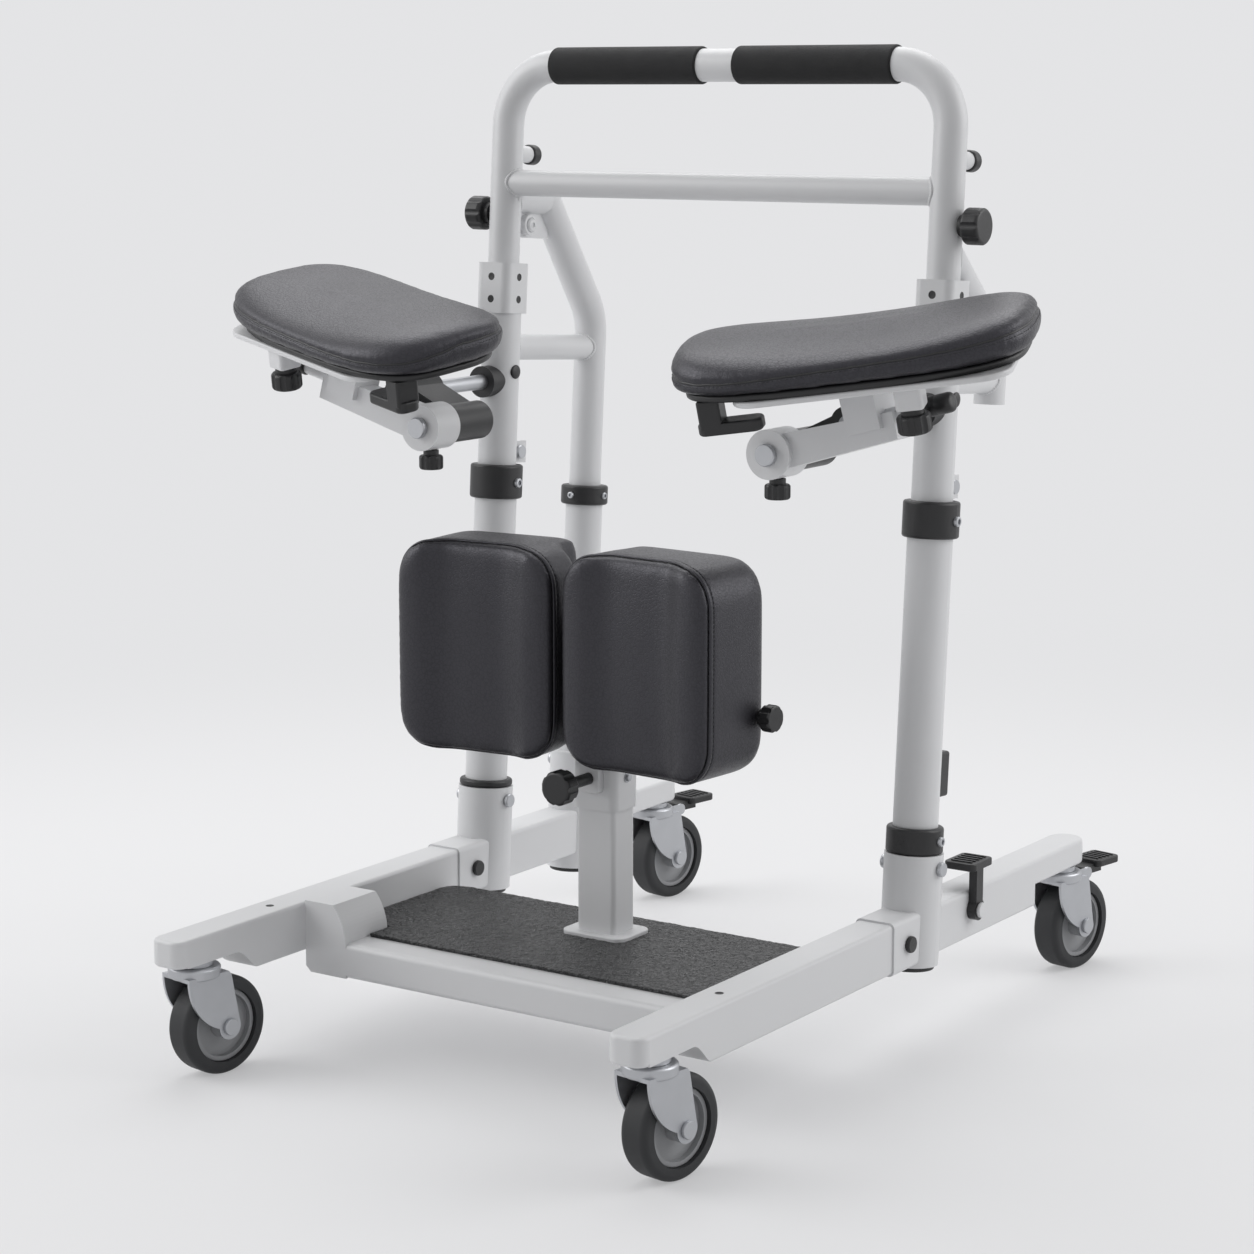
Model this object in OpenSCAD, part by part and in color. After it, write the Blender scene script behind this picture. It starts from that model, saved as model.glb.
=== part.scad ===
// Standing and transfer aid on four swivel casters, with knee pads and fold-up arm pads.
// The floor is z = 0, +Z is up, the user steps on from -Y and faces +Y, and +X is the user's right.

/* [Chassis] */
// Distance between the centre lines of the two side beams
track_w = 538; // [500:1:600]
// Distance between the front and rear swivel axes
wheelbase = 810; // [740:1:880]
// Width of a side beam
beam_w = 40; // [36:1:46]
// Depth of a side beam
beam_h = 51; // [46:1:58]
// Wall of a side beam
beam_wall = 3; // [2:0.5:5]
// Corner radius of a beam's section
edge_r = 4; // [2:0.5:6]
// Depth of the shallow beam ends over the casters
end_h = 28; // [24:1:34]
// Front swivel axis to the front tip
nose_reach = 43; // [36:1:55]
// Length of a front nose piece
nose_len = 181; // [165:1:210]
// Rear swivel axis to the rear tip of a beam
tail_reach = 34; // [30:1:45]
// Rear swivel axis to the step under a beam
step_reach = 96; // [94:1:120]
// Front swivel axis to the foot of the column axis on the floor
column_setback = 465; // [440:1:490]

/* [Casters] */
// Wheel diameter
wheel_d = 100; // [90:1:110]
// Tyre width
tyre_w = 32; // [26:1:36]
// Swivel axis to wheel axle
trail = 26; // [20:1:32]
// Angle that the casters stand at, away from straight
caster_swing = 10; // [0:1:30]
// Swivel axis to the end of a brake pedal
pedal_reach = 92; // [86:1:93]

/* [Columns] */
// Backward lean of the columns
lean = 4; // [2:0.5:6]
// Outer diameter of a front socket
socket_d = 60; // [56:1:66]
// Outer diameter of a front lower tube
lower_d = 46; // [44:1:50]
// Outer diameter of a front upper tube
upper_d = 42; // [38:1:42]
// Outer diameter of the handle tube
handle_d = 34; // [30:1:36]
// Wall of the handle tube and the braces
tube_wall = 2; // [1.5:0.25:3]
// Height of the top of the front sockets, along the column
socket_top = 205; // [190:1:220]
// Height of the top of the lower tubes, along the column
lower_top = 545; // [500:1:580]
// Height of the foot of the upper tubes, along the column
upper_foot = 300; // [280:1:320]
// Height of the top of the upper tubes, along the column
upper_top = 724; // [715:1:740]
// Height of the ring at the foot of the left column
left_ring_h = 8; // [6:1:20]
// Height of the ring at the foot of the right column
right_ring_h = 27; // [10:1:34]
// Distance of the left rear tube behind the column
rear_reach = 170; // [160:1:185]
// Outer diameter of the rear upper tube
rear_upper_d = 36; // [32:1:38]
// Outer diameter of the rear lower tube
rear_lower_d = 42; // [41:1:46]

/* [Handle] */
// Height of the top bar's centre, along the column
bar_top = 988; // [960:1:1020]
// Bend radius of the handle's corners
bend_r = 62; // [50:1:80]
// Height of the crossbar, along the column
cross_height = 864; // [856:1:872]
// Outer diameter of the crossbar
cross_d = 28; // [24:1:30]
// Outer diameter of the foam grips
grip_d = 39; // [36:1:44]
// Bare length of the top bar between the grips
grip_gap = 44; // [20:1:80]

/* [Arm pads] */
// Hub axis, inboard of the column axis
pivot_inset = 61; // [55:1:70]
// Height of the hub axis
pivot_z = 621; // [610:1:630]
// Height of the support rods
rod_z = 650; // [645:1:665]
// Rise of the arms towards their outer ends
arm_rise = 15; // [10:1:18]
// Pad length
arm_pad_l = 348; // [330:1:352]
// Pad depth
arm_pad_d = 192; // [180:1:196]
// Pad thickness
arm_pad_t = 46; // [38:1:52]
// Dip of the saddle in a pad's top
arm_pad_dip = 14; // [0:1:18]
// Sideways tilt of the pads, outer ends up
pad_tilt = 8; // [6:1:9]
// Forward pitch of the pads, front edges down
pad_pitch = 10; // [7:1:11]
// Backward sweep of the pads' outer ends
pad_sweep = 18; // [14:1:20]

/* [Foot plate and knee pads] */
// Front face of the foot plate, behind the front swivel axis
plate_setback = 145; // [140:1:160]
// Depth of the foot plate
plate_d = 244; // [236:1:250]
// Height of the plate's top
plate_z = 112; // [106:1:118]
// Knee post centre behind the plate's front face
post_setback = 177; // [170:1:182]
// Width of the knee post
post_w = 46; // [40:1:50]
// Depth of the knee post
post_d = 38; // [34:1:42]
// Height of the top of the knee post
post_top = 430; // [420:1:450]
// Height of the lower end of the knee sleeve
sleeve_z = 247; // [240:1:260]
// Knee pad width
knee_w = 182; // [170:1:188]
// Knee pad height
knee_h = 215; // [200:1:220]
// Knee pad depth
knee_t = 104; // [96:1:110]
// Depth of the hollow in a knee pad's front
knee_dip = 13; // [4:1:18]
// Lower end of the sleeve to a knee pad's lower edge
knee_up = 57; // [54:1:62]
// Toe-in of the knee pads
knee_toe = 5; // [0:1:7]

/* [Hidden] */
$fn = 48;

// Colours of the finishes
paint = [0.80, 0.81, 0.82];
black = [0.10, 0.10, 0.11];
hide = [0.17, 0.16, 0.18];
zinc = [0.68, 0.69, 0.71];
grey = [0.52, 0.52, 0.53];
dark = [0.22, 0.22, 0.23];

// Clearances: seated pieces, sliding pieces and running shafts, and the overrun of cuts
fit = 0.15;
slip = 0.3;
run = 0.05;
joint_t = 0.1;
joint_l = 2;
over = 1;

// Caster heights
axle_z = wheel_d / 2;
fork_gap = 3;
bridge_t = 4;
head_h = 8;
race_h = 5;
race_gap = 0.4;
bridge_z = wheel_d + fork_gap;
head_top = bridge_z + bridge_t + head_h;
caster_h = head_top + race_gap + race_h;
stem_d = 12;
stem_l = 20;
king_d = 16;
king_drop = 2.4;

// Places along the chassis, with the whole length centred on the origin
tread_w = 36;
tread_r = 6;
tread_edge_r = 1.5;
pedal_end = (pedal_reach - tread_r) * cos(caster_swing) + (tread_w / 2 - tread_r) * sin(caster_swing)
    + tread_r;
overall_l = nose_reach + wheelbase + pedal_end;
front_y = -overall_l / 2 + nose_reach;
rear_y = front_y + wheelbase;
tip_y = front_y - nose_reach;
seam_y = tip_y + nose_len;
step_y = rear_y - step_reach;
beam_x = track_w / 2;
beam_top = caster_h + end_h;
beam_bottom = beam_top - beam_h;
inner_x = beam_x - beam_w / 2;
outer_x = beam_x + beam_w / 2;
column_y = front_y + column_setback;
function lean_y(z) = column_y + z * tan(lean);

// Chassis details
spigot_l = 30;
least_r = 0.6;
core_r = max(edge_r - beam_wall, least_r);
tip_r = 13;
belly_start = 40;
belly_run = 35;
belly_steps = 10;
tip_hole_d = 7;
tip_hole_depth = 6;
tip_hole_back = 24;
socket_drop = 6;
socket_foot = beam_bottom - socket_drop;
bracket_l = 72;
bracket_t = 2;
bolt_d = 8;
bolt_head_d = 15;
bolt_head_h = 5;
bolt_below = 14;
plug_d = 10;
plug_head_d = 17;
plug_head_h = 5;
plug_ahead = 42;
rear_socket_d = rear_lower_d + socket_d - lower_d;
rear_socket_top = 226;
cap_h = 5;
cap_spigot_h = 10;
ring_d = socket_d - 2;
ring_r = 3;
collar_h = 37;
collar_lap = 22;
collar_wall = 5.5;
rear_collar_h = 22;
rear_collar_lap = 13;
rear_lower_top = 522;
rear_upper_foot = 330;
buffer_w = 28;
buffer_d = 22;
buffer_h = 46;
buffer_s = 282;
buffer_r = 5;

// Latch pedal behind the right socket
latch_behind = 103;
latch_y = column_y + latch_behind;
latch_drop = 20;
latch_rise = 22;
latch_shift = 8;
stud_head_d = 16;
stud_head_h = 4;
stud_d = 10;
latch_hub_d = 22;
latch_hub_l = 9;
latch_neck_w = 14;
tread_l = 44;
tread_t = 8;
latch_tread_z = beam_top + latch_rise;
rib_count = 5;
rib_w = 2.4;
rib_h = 1.2;

// Telescoping fits
lower_id = upper_d + 2 * slip;
rear_lower_id = rear_upper_d + 2 * slip;
upper_id = handle_d + 2 * fit;
sleeve_w = 43;
sleeve_h = 54;
sleeve_r = 9;
sleeve_hole_d = 7;
sleeve_hole_gap = 24;
leg_insert = 60;
knob_height = 831;
stub_drop = 92;
stub_height = bar_top - stub_drop;
stub_d = 18;
stub_l = 44;
stub_cap_d = 22;
stub_cap_h = 14;
stub_cap_lap = 8;
ear_t = 6;
ear_w = 30;
ear_h = 24;
ear_above = 12;

// Braces
brace_bend_r = 60;
brace_angle = 38;
brace_top = 940;
elbow_height = 850;
elbow_t = 1;
elbow_y = (brace_top - elbow_height) * tan(brace_angle);
tie_d = 28;
tie_height = 687;
right_tie_height = 679;
lug_t = 6;
lug_h = 28;
lug_height = 820;
right_brace_d = 32;
right_reach = 112;
right_brace_angle = 52;
right_brace_top = 808;
right_bend_r = 44;
right_drop = 25;

// Star knobs
knob_lobes = 8;
knob_d = 37;
knob_h = 20;
knob_skirt_d = 22;
knob_skirt_h = 6;
knob_stem_d = 8;
scallop_d = 10;
scallop_bite = 1.8;
knob_edge_share = 0.2;
dome_share = 0.6;

// Arm hubs, blocks and rods
pivot_x = beam_x - pivot_inset;
hub_d = 48;
hub_l = 37;
hub_ahead = 174.5;
hub_y = column_y - hub_ahead;
shaft_d = 14;
shaft_head_d = 22;
shaft_head_h = 7;
washer_d = 44;
washer_t = 4;
block_y = hub_y + hub_l + washer_t;
block_l = 58;
block_pivot_d = 40;
block_rod_d = 34;
block_web_h = 26;
block_inset = 2;
rod_d = 16;
flange_d = 34;
flange_l = 12;
arm_l = 138;
arm_root_h = 34;
arm_tip_h = 26;
arm_t = 26;
riser_w = 36;
riser_at = 108;
riser_t = 40;
riser_h = 72;
lock_knob_d = 25;
lock_knob_h = 15;
lock_stem_l = 10;

// Pads, trays and tabs, in the frame of each arm pad
pad_out = 24;
pad_ahead = 153;
pad_rise = 84;
pad_x = beam_x + pad_out;
pad_z = pivot_z + pad_rise;
board_t = 7;
board_share = 0.93;
pad_power = 3.2;
tray_l = 262;
tray_d = 150;
tray_t = 6;
tray_shift = 22;
tray_back = -8;
tray_r = 28;
tray_edge_r = 2;
tray_knob_u = 58;
tray_knob_v = -66;
tray_foot_w = 26;
tray_foot_h = 20;
tray_knob_d = 32;
tray_knob_h = 18;
tab_l = 62;
tab_w = 26;
tab_t = 12;
tab_inset = 57;
tab_u = tab_inset - arm_pad_l / 2;
tab_v = -46;
tab_foot_inset = 40;
tab_foot_u = tab_foot_inset - arm_pad_l / 2;
tab_foot_w = 22;
tab_foot_h = 28;
tab_r = 9;
tab_edge_r = 3;

// Foot plate
plate_y = front_y + plate_setback;
plate_t = 4;
bar_d = 40;
bar_h = 36;
bar_r = 6;
block_w = 52;
block_d = 68;
block_rise = 2;
block_run = 30;
shoulder_share = 0.12;
sheet = 3;
rail_h = 14;
mat_t = 4;
mat_r = 24;
mat_edge_r = 1;
mat_inset = 36;
mat_margin = 3;
mat_gap = 2;
mat_l = 2 * (inner_x - mat_margin);
mat_d = plate_d - mat_inset - mat_margin;

// Knee post, sleeve and bracket
post_y = plate_y + post_setback;
post_wall = 2.5;
post_r = 5;
base_w = 76;
base_d = 58;
base_t = 7;
base_r = 12;
base_edge_r = 1.5;
index_d = 12.6;
index_pitch = 18;
index_count = 4;
sleeve_wall = 3;
sleeve_l = 190;
sleeve_out_w = post_w + 2 * (slip + sleeve_wall);
sleeve_out_d = post_d + 2 * (slip + sleeve_wall);
plunger_up = 34;
index_first = sleeve_z + plunger_up - index_pitch;
plunger_d = 12;
plunger_stem = 44;
plunger_knob_d = 35;
plunger_knob_h = 19;
plunger_flange_w = 25;
plunger_flange_h = 31;
plunger_flange_t = 8;
plunger_flange_r = 5;
knee_gap = 4;
knee_z = sleeve_z + knee_up;
knee_front = 92;
knee_pocket_x = 35;
knee_front_t = 64;
knee_power = 5.7;
strap_t = 5;
ear_up = 66;
ear_z = knee_z + ear_up;
ear_span_h = 74;
ear_reach = 150;
ear_hole_d = 9;
ear_hole_share = 0.7;
ear_hole_rows = 2;
knee_knob_up = 60;
knee_knob_z = knee_z + knee_knob_up;
knee_knob_d = 27;
knee_knob_h = 13;
knee_stem_l = 24;

// Brake pedals, in the frame of each fork
brake_pivot_y = 36;
brake_pivot_z = bridge_z + bridge_t;
brake_pin_d = 6;
brake_hub_d = 13;
brake_hub_w = 24;
brake_tread_l = 40;
brake_tread_up = 11;
brake_tread_z = bridge_z + brake_tread_up;
brake_ear_t = 3;

// Wheels
rim_d = 74;
rim_w = 24;
rim_wall = 5;
web_w = 12;
wheel_hub_d = 26;
axle_d = 10;
axle_head_d = 17;
axle_head_h = 4;
fork_t = 3;
fork_side_gap = 2.5;
fork_in = tyre_w / 2 + fork_side_gap;
fork_head_d = 52;
race_share = 0.72;
fork_boss_d = 26;
fork_swoop = 9;
swoop_steps = 12;
tyre_r = 7;
ring_steps = 44;

// Frames and repeated forms

module right_or_left(side) {
    if (side > 0) children();
    else mirror([1, 0, 0]) children();
}

module both_sides() {
    children();
    mirror([1, 0, 0]) children();
}

// The column frame: its Z axis runs up the leaning column, its origin is at the column's foot on the floor
module lean_frame() {
    translate([0, column_y, 0]) rotate([-lean, 0, 0]) children();
}

module at_caster(x, y) {
    translate([x, y, 0]) rotate([0, 0, -caster_swing]) children();
}

module pad_frame() {
    translate([pad_x, column_y - pad_ahead, pad_z]) rotate([pad_pitch, -pad_tilt, pad_sweep]) children();
}

module along_x() {
    rotate([0, 90, 0]) children();
}

module along_y() {
    rotate([-90, 0, 0]) children();
}

// A rectangle with round corners, centred
module soft_rect(w, h, r) {
    square([w - 2 * r, h], center = true);
    square([w, h - 2 * r], center = true);
    for (x = [-1, 1], y = [-1, 1])
        translate([x * (w / 2 - r), y * (h / 2 - r)]) circle(r = r);
}

// A bar along +Y with a soft rectangular section, its top at z = 0
module soft_bar(l, w, h, r) {
    translate([0, l, -h / 2]) rotate([90, 0, 0]) linear_extrude(l) soft_rect(w, h, r);
}

// Half of a soft rectangle, turned about its edge
module soft_disc(d, h, r) {
    rotate_extrude() intersection() {
        translate([0, h / 2]) soft_rect(d, h, r);
        square([d / 2, h]);
    }
}

// A slab with round corners in plan and round edges, standing on z = 0
module soft_slab(lx, ly, h, corner, r) {
    translate([0, -ly / 2 + corner, h]) soft_bar(ly - 2 * corner, lx, h, r);
    rotate([0, 0, 90]) translate([0, -lx / 2 + corner, h]) soft_bar(lx - 2 * corner, ly, h, r);
    for (x = [-1, 1], y = [-1, 1])
        translate([x * (lx / 2 - corner), y * (ly / 2 - corner), 0]) soft_disc(2 * corner, h, r);
}

module tube(d, id, l) {
    difference() {
        cylinder(d = d, h = l);
        translate([0, 0, -over]) cylinder(d = id, h = l + 2 * over);
    }
}

// A ring with round outer edges
module soft_ring(d, id, h, r) {
    difference() {
        soft_disc(d, h, r);
        translate([0, 0, -over]) cylinder(d = id, h = h + 2 * over);
    }
}

// A rod that goes up, bends towards +Y and goes straight on, with a thin band over the joint
module bent_rod(d, l1, r, angle, l2) {
    cylinder(d = d, h = l1);
    translate([0, r, l1]) rotate([90, 0, 0]) rotate([0, -90, 0])
        rotate_extrude(angle = angle) translate([r, 0]) circle(d = d);
    translate([0, r * (1 - cos(angle)), l1 + r * sin(angle)]) rotate([-angle, 0, 0]) {
        cylinder(d = d, h = l2);
        translate([0, 0, -joint_l]) cylinder(d = d + 2 * joint_t, h = 2 * joint_l);
    }
}

// A domed bolt head on a short shank, along +Z, its seat at z = 0
module dome_head(d, h) {
    soft_disc(d, h, h * dome_share);
}

// A lobed knob on +Z with a skirt below it and a stem below that
module star_knob(d, h, skirt_d, skirt_h, stem_d, stem_l) {
    difference() {
        translate([0, 0, skirt_h]) soft_disc(d, h, h * knob_edge_share);
        for (i = [0 : knob_lobes - 1])
            rotate(i * 360 / knob_lobes)
                translate([d / 2 + scallop_d / 2 - scallop_bite, 0, skirt_h - over])
                cylinder(d = scallop_d, h = h + 2 * over);
    }
    cylinder(d = skirt_d, h = skirt_h);
    translate([0, 0, -stem_l]) cylinder(d = stem_d, h = stem_l);
}

// A tread plate with cross ribs, along Y from y = 0, its underside at z = 0
module tread(w, l, t) {
    translate([0, l / 2, 0]) soft_slab(w, l, t, tread_r, tread_edge_r);
    for (i = [1 : rib_count])
        translate([-w / 2 + tread_r, i * l / (rib_count + 1) - rib_w / 2, t - over])
            cube([w - 2 * tread_r, rib_w, rib_h + over]);
}

// A curve from a to b that bows sideways by sag
function bow(a, b, sag, n) = [
    for (i = [0 : n]) let (t = i / n, d = b - a, q = [-d[1], d[0]] / norm(d))
        a + d * t + q * 4 * sag * t * (1 - t)
];

// Cushion forms: rings of a rounded outline, with a crown and a hollow along the first axis.
// Each pair gives a ring's size and height as shares of the outline and the thickness.
cushion_shares = [
    [0.955, 0.00], [0.99, 0.12], [1.00, 0.34], [0.992, 0.58], [0.978, 0.70], [0.955, 0.80],
    [0.90, 0.90], [0.76, 0.965], [0.50, 0.99]
];
knee_shares = [
    [0.965, 0.00], [0.993, 0.05], [1.00, 0.14], [1.00, 0.70], [0.997, 0.88], [0.975, 0.95],
    [0.935, 0.985], [0.86, 1.00], [0.50, 1.00]
];
hollow_from_share = 0.5;
function power_curve(a, p) = [sign(cos(a)) * pow(abs(cos(a)), 2 / p),
    sign(sin(a)) * pow(abs(sin(a)), 2 / p)];
function hollow(u, l, dip, share) = -dip * (1 - pow(2 * u / l, 2))
    * max(0, (share - hollow_from_share) / (1 - hollow_from_share));
function cushion_ring(l, d, t, dip, p, size, share) = [
    for (i = [0 : ring_steps - 1]) let (c = power_curve(i * 360 / ring_steps, p), u = c[0] * l / 2 * size)
        [u, c[1] * d / 2 * size, share * t + hollow(u, l, dip, share)]
];
function ring_faces(n, first, second) = [
    for (i = [0 : n - 1]) let (j = (i + 1) % n) each [
        [first + i, second + i, second + j], [first + i, second + j, first + j]
    ]
];

module cushion(l, d, t, dip, p, base_share, base_h, shares) {
    base = [[base_share, 0], [base_share, base_h / t]];
    body = [for (s = shares) [s[0], base_h / t + s[1] * (1 - base_h / t)]];
    rings = concat(base, body);
    n = ring_steps;
    count = len(rings);
    points = concat(
        [for (r = rings) each cushion_ring(l, d, t, dip, p, r[0], r[1])],
        [[0, 0, 0], [0, 0, t + hollow(0, l, dip, 1)]]
    );
    faces = concat(
        [for (k = [0 : count - 2]) each ring_faces(n, k * n, (k + 1) * n)],
        [for (i = [0 : n - 1]) [n * count, i, (i + 1) % n]],
        [for (i = [0 : n - 1]) [n * count + 1, (count - 1) * n + (i + 1) % n, (count - 1) * n + i]]
    );
    polyhedron(points, faces);
}

// Chassis

module beam_shell() {
    l = step_y - seam_y;
    translate([beam_x, seam_y, beam_top]) difference() {
        soft_bar(l, beam_w, beam_h, edge_r);
        translate([0, -over, -beam_wall]) soft_bar(
            l - beam_wall + over, beam_w - 2 * beam_wall, beam_h - 2 * beam_wall, core_r);
    }
    translate([beam_x, step_y + run, beam_top])
        soft_bar(step_reach + tail_reach - run - beam_w / 2, beam_w, end_h, edge_r);
    translate([beam_x, rear_y + tail_reach - beam_w / 2, caster_h]) soft_disc(beam_w, end_h, edge_r);
}

module stem_hole(y) {
    translate([beam_x, y, caster_h - over]) cylinder(d = stem_d + 2 * fit, h = stem_l + over + fit);
}

module socket_bracket() {
    y = lean_y(beam_bottom + beam_h / 2);
    translate([beam_x, y - bracket_l, beam_top + bracket_t])
        soft_bar(bracket_l, beam_w + 2 * bracket_t, beam_h + 2 * bracket_t, edge_r + bracket_t);
}

module bracket_core() {
    y = lean_y(beam_bottom + beam_h / 2);
    translate([beam_x, y - bracket_l - over, beam_top])
        soft_bar(bracket_l + 2 * over, beam_w, beam_h, edge_r);
}

module plug_place() {
    translate([beam_x, lean_y(beam_bottom + beam_h / 2) - plug_ahead, beam_bottom + beam_h / 2]) children();
}

module cross_bolt_place(y, top) {
    lean_frame() translate([beam_x, y, top - bolt_below]) along_x() children();
}

module latch_stud() {
    l = latch_hub_l + 2 * slip;
    translate([outer_x - over, latch_y, beam_top - latch_drop]) along_x() {
        cylinder(d = stud_d, h = l + 2 * over);
        translate([0, 0, l + over]) dome_head(stud_head_d, stud_head_h);
    }
}

module side_frame(rear_socket) {
    color(paint) difference() {
        union() {
            beam_shell();
            difference() {
                socket_bracket();
                bracket_core();
            }
            lean_frame() translate([beam_x, 0, socket_foot])
                cylinder(d = socket_d, h = socket_top - socket_foot);
            if (rear_socket)
                lean_frame() translate([beam_x, rear_reach, socket_foot])
                    cylinder(d = rear_socket_d, h = rear_socket_top - socket_foot);
            else
                latch_stud();
        }
        stem_hole(rear_y);
        lean_frame() translate([beam_x, 0, 0]) cylinder(d = lower_d + 2 * fit, h = bar_top);
        cross_bolt_place(0, socket_top)
            cylinder(d = bolt_d + 2 * fit, h = 2 * socket_d, center = true);
        plug_place() along_x() cylinder(d = plug_d + 2 * fit, h = 2 * beam_w, center = true);
        if (rear_socket) {
            lean_frame() translate([beam_x, rear_reach, 0])
                cylinder(d = rear_lower_d + 2 * fit, h = bar_top);
            cross_bolt_place(rear_reach, rear_socket_top)
                cylinder(d = bolt_d + 2 * fit, h = 2 * rear_socket_d, center = true);
        }
    }
}

module left_side_frame() {
    right_or_left(-1) side_frame(true);
}

module right_side_frame() {
    right_or_left(1) side_frame(false);
}

// The underside of a nose: flat over the caster, then a smooth belly down to the beam's depth
module nose_profile() {
    low = beam_bottom - beam_top;
    high = -end_h;
    y0 = nose_reach + belly_start;
    belly = [
        for (i = [0 : belly_steps]) let (t = i / belly_steps)
            [y0 + belly_run * t, high + (low - high) * (1 - cos(180 * t)) / 2]
    ];
    rotate([90, 0, 90]) linear_extrude(beam_w, center = true)
        polygon(concat([[tip_r, 0], [tip_r, high]], belly, [[nose_len, low], [nose_len, 0]]));
}

module nose() {
    inside = beam_wall + fit;
    translate([beam_x, tip_y, beam_top]) difference() {
        union() {
            intersection() {
                soft_bar(nose_len, beam_w, beam_h, edge_r);
                nose_profile();
            }
            intersection() {
                translate([0, nose_len / 2, -end_h]) soft_slab(beam_w, nose_len, end_h, tip_r, edge_r);
                translate([-beam_w, -over, -beam_h]) cube([2 * beam_w, nose_reach, 2 * beam_h]);
            }
            translate([0, nose_len - over, -inside])
                soft_bar(spigot_l + over, beam_w - 2 * inside, beam_h - 2 * inside, core_r);
        }
        translate([0, nose_reach, -end_h - over]) cylinder(d = stem_d + 2 * fit, h = stem_l + over + fit);
        translate([0, nose_len - tip_hole_back, -tip_hole_depth])
            cylinder(d = tip_hole_d, h = tip_hole_depth + over);
    }
}

module front_noses() {
    color(paint) both_sides() nose();
}

// Outline of a raised end block, seen from the front, with a curved inner shoulder
module end_block() {
    top = beam_top + block_rise;
    foot = plate_z - bar_h;
    left = inner_x - block_w;
    shoulder = bow([inner_x - block_w + block_run / 2, top], [left, plate_z],
        -block_run * shoulder_share, belly_steps);
    translate([0, plate_y + block_d, 0]) rotate([90, 0, 0]) linear_extrude(block_d)
        polygon(concat(
            [[inner_x, foot + bar_r], [inner_x, top]], shoulder, [[left, foot], [inner_x - bar_r, foot]]));
}

module footplate() {
    half = inner_x - block_w;
    foot = plate_z - bar_h;
    color(paint) difference() {
        union() {
            translate([-half, plate_y, plate_z - bar_h / 2]) rotate([90, 0, 90])
                linear_extrude(half + inner_x) translate([bar_d / 2, 0]) soft_rect(bar_d, bar_h, bar_r);
            right_or_left(-1) end_block();
            translate([-inner_x, plate_y + bar_d - bar_r, plate_z - plate_t])
                cube([2 * inner_x, plate_d - bar_d + bar_r, plate_t]);
            both_sides() translate([inner_x - sheet, plate_y + block_d - over, plate_z - rail_h])
                cube([sheet, plate_d - block_d + over, rail_h]);
            translate([-inner_x, plate_y + plate_d - sheet, plate_z - rail_h])
                cube([2 * inner_x, sheet, rail_h]);
        }
        translate([-half - over, plate_y + sheet, foot - over])
            cube([half + over + inner_x - sheet, bar_d - 2 * sheet, bar_h - sheet + over]);
        right_or_left(-1) translate([half + sheet, plate_y + sheet, foot - over])
            cube([block_w - 2 * sheet, block_d - 2 * sheet, bar_h - sheet + over]);
        right_or_left(-1) translate([half + block_run, plate_y + sheet, foot - over])
            cube([
                block_w - block_run - sheet, block_d - 2 * sheet,
                beam_top + block_rise - sheet - foot + over]);
    }
}

module foot_mat() {
    notch_w = block_w + mat_gap;
    notch_d = block_d + mat_gap;
    color(dark) difference() {
        translate([0, plate_y + mat_inset + mat_d / 2, plate_z])
            soft_slab(mat_l, mat_d, mat_t, mat_r, mat_edge_r);
        translate([0, post_y, plate_z - over]) linear_extrude(mat_t + 2 * over)
            soft_rect(base_w + 2 * slip, base_d + 2 * slip, base_r + slip);
        translate([-inner_x, plate_y, plate_z - over]) cube([notch_w, notch_d, mat_t + 2 * over]);
    }
}

module knee_post() {
    color(paint) translate([0, post_y, 0]) difference() {
        union() {
            translate([0, 0, plate_z]) soft_slab(base_w, base_d, base_t, base_r, base_edge_r);
            translate([0, 0, plate_z + base_edge_r]) linear_extrude(post_top - plate_z - base_edge_r)
                soft_rect(post_w, post_d, post_r);
        }
        translate([0, 0, plate_z + base_t]) linear_extrude(post_top)
            soft_rect(post_w - 2 * post_wall, post_d - 2 * post_wall, post_r - post_wall);
        for (i = [0 : index_count - 1])
            translate([0, -post_d, index_first + i * index_pitch]) along_y()
                cylinder(d = index_d, h = post_d);
    }
}

module lower_tubes() {
    color(paint) {
        both_sides() difference() {
            lean_frame() translate([beam_x, 0, socket_foot])
                tube(lower_d, lower_id, lower_top - socket_foot);
            cross_bolt_place(0, socket_top) cylinder(d = bolt_d + 2 * fit, h = 2 * lower_d, center = true);
        }
        right_or_left(-1) difference() {
            lean_frame() translate([beam_x, rear_reach, socket_foot])
                tube(rear_lower_d, rear_lower_id, rear_lower_top - socket_foot);
            cross_bolt_place(rear_reach, rear_socket_top)
                cylinder(d = bolt_d + 2 * fit, h = 2 * rear_lower_d, center = true);
        }
    }
}

// A collar that grips the lower tube and guides the upper one
module collar(tube_d, slide_d, h, lap) {
    difference() {
        translate([0, 0, -lap]) soft_disc(tube_d + 2 * (fit + collar_wall), h, ring_r);
        translate([0, 0, -lap - over]) cylinder(d = tube_d + 2 * fit, h = lap + over);
        cylinder(d = slide_d + 2 * slip, h = h + over);
    }
}

module clamp_collars() {
    color(black) lean_frame() {
        both_sides() translate([beam_x, 0, lower_top]) collar(lower_d, upper_d, collar_h, collar_lap);
        right_or_left(-1) translate([beam_x, rear_reach, rear_lower_top])
            collar(rear_lower_d, rear_upper_d, rear_collar_h, rear_collar_lap);
        right_or_left(-1) translate([beam_x, 0, socket_top])
            soft_ring(ring_d, lower_d + 2 * fit, left_ring_h, ring_r);
        translate([beam_x, 0, socket_top]) soft_ring(ring_d, lower_d + 2 * fit, right_ring_h, ring_r);
    }
}

module cross_bolt(d) {
    cylinder(d = bolt_d, h = d, center = true);
    for (s = [0, 180])
        rotate([s, 0, 0]) translate([0, 0, d / 2 - fit]) dome_head(bolt_head_d, bolt_head_h);
}

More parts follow.
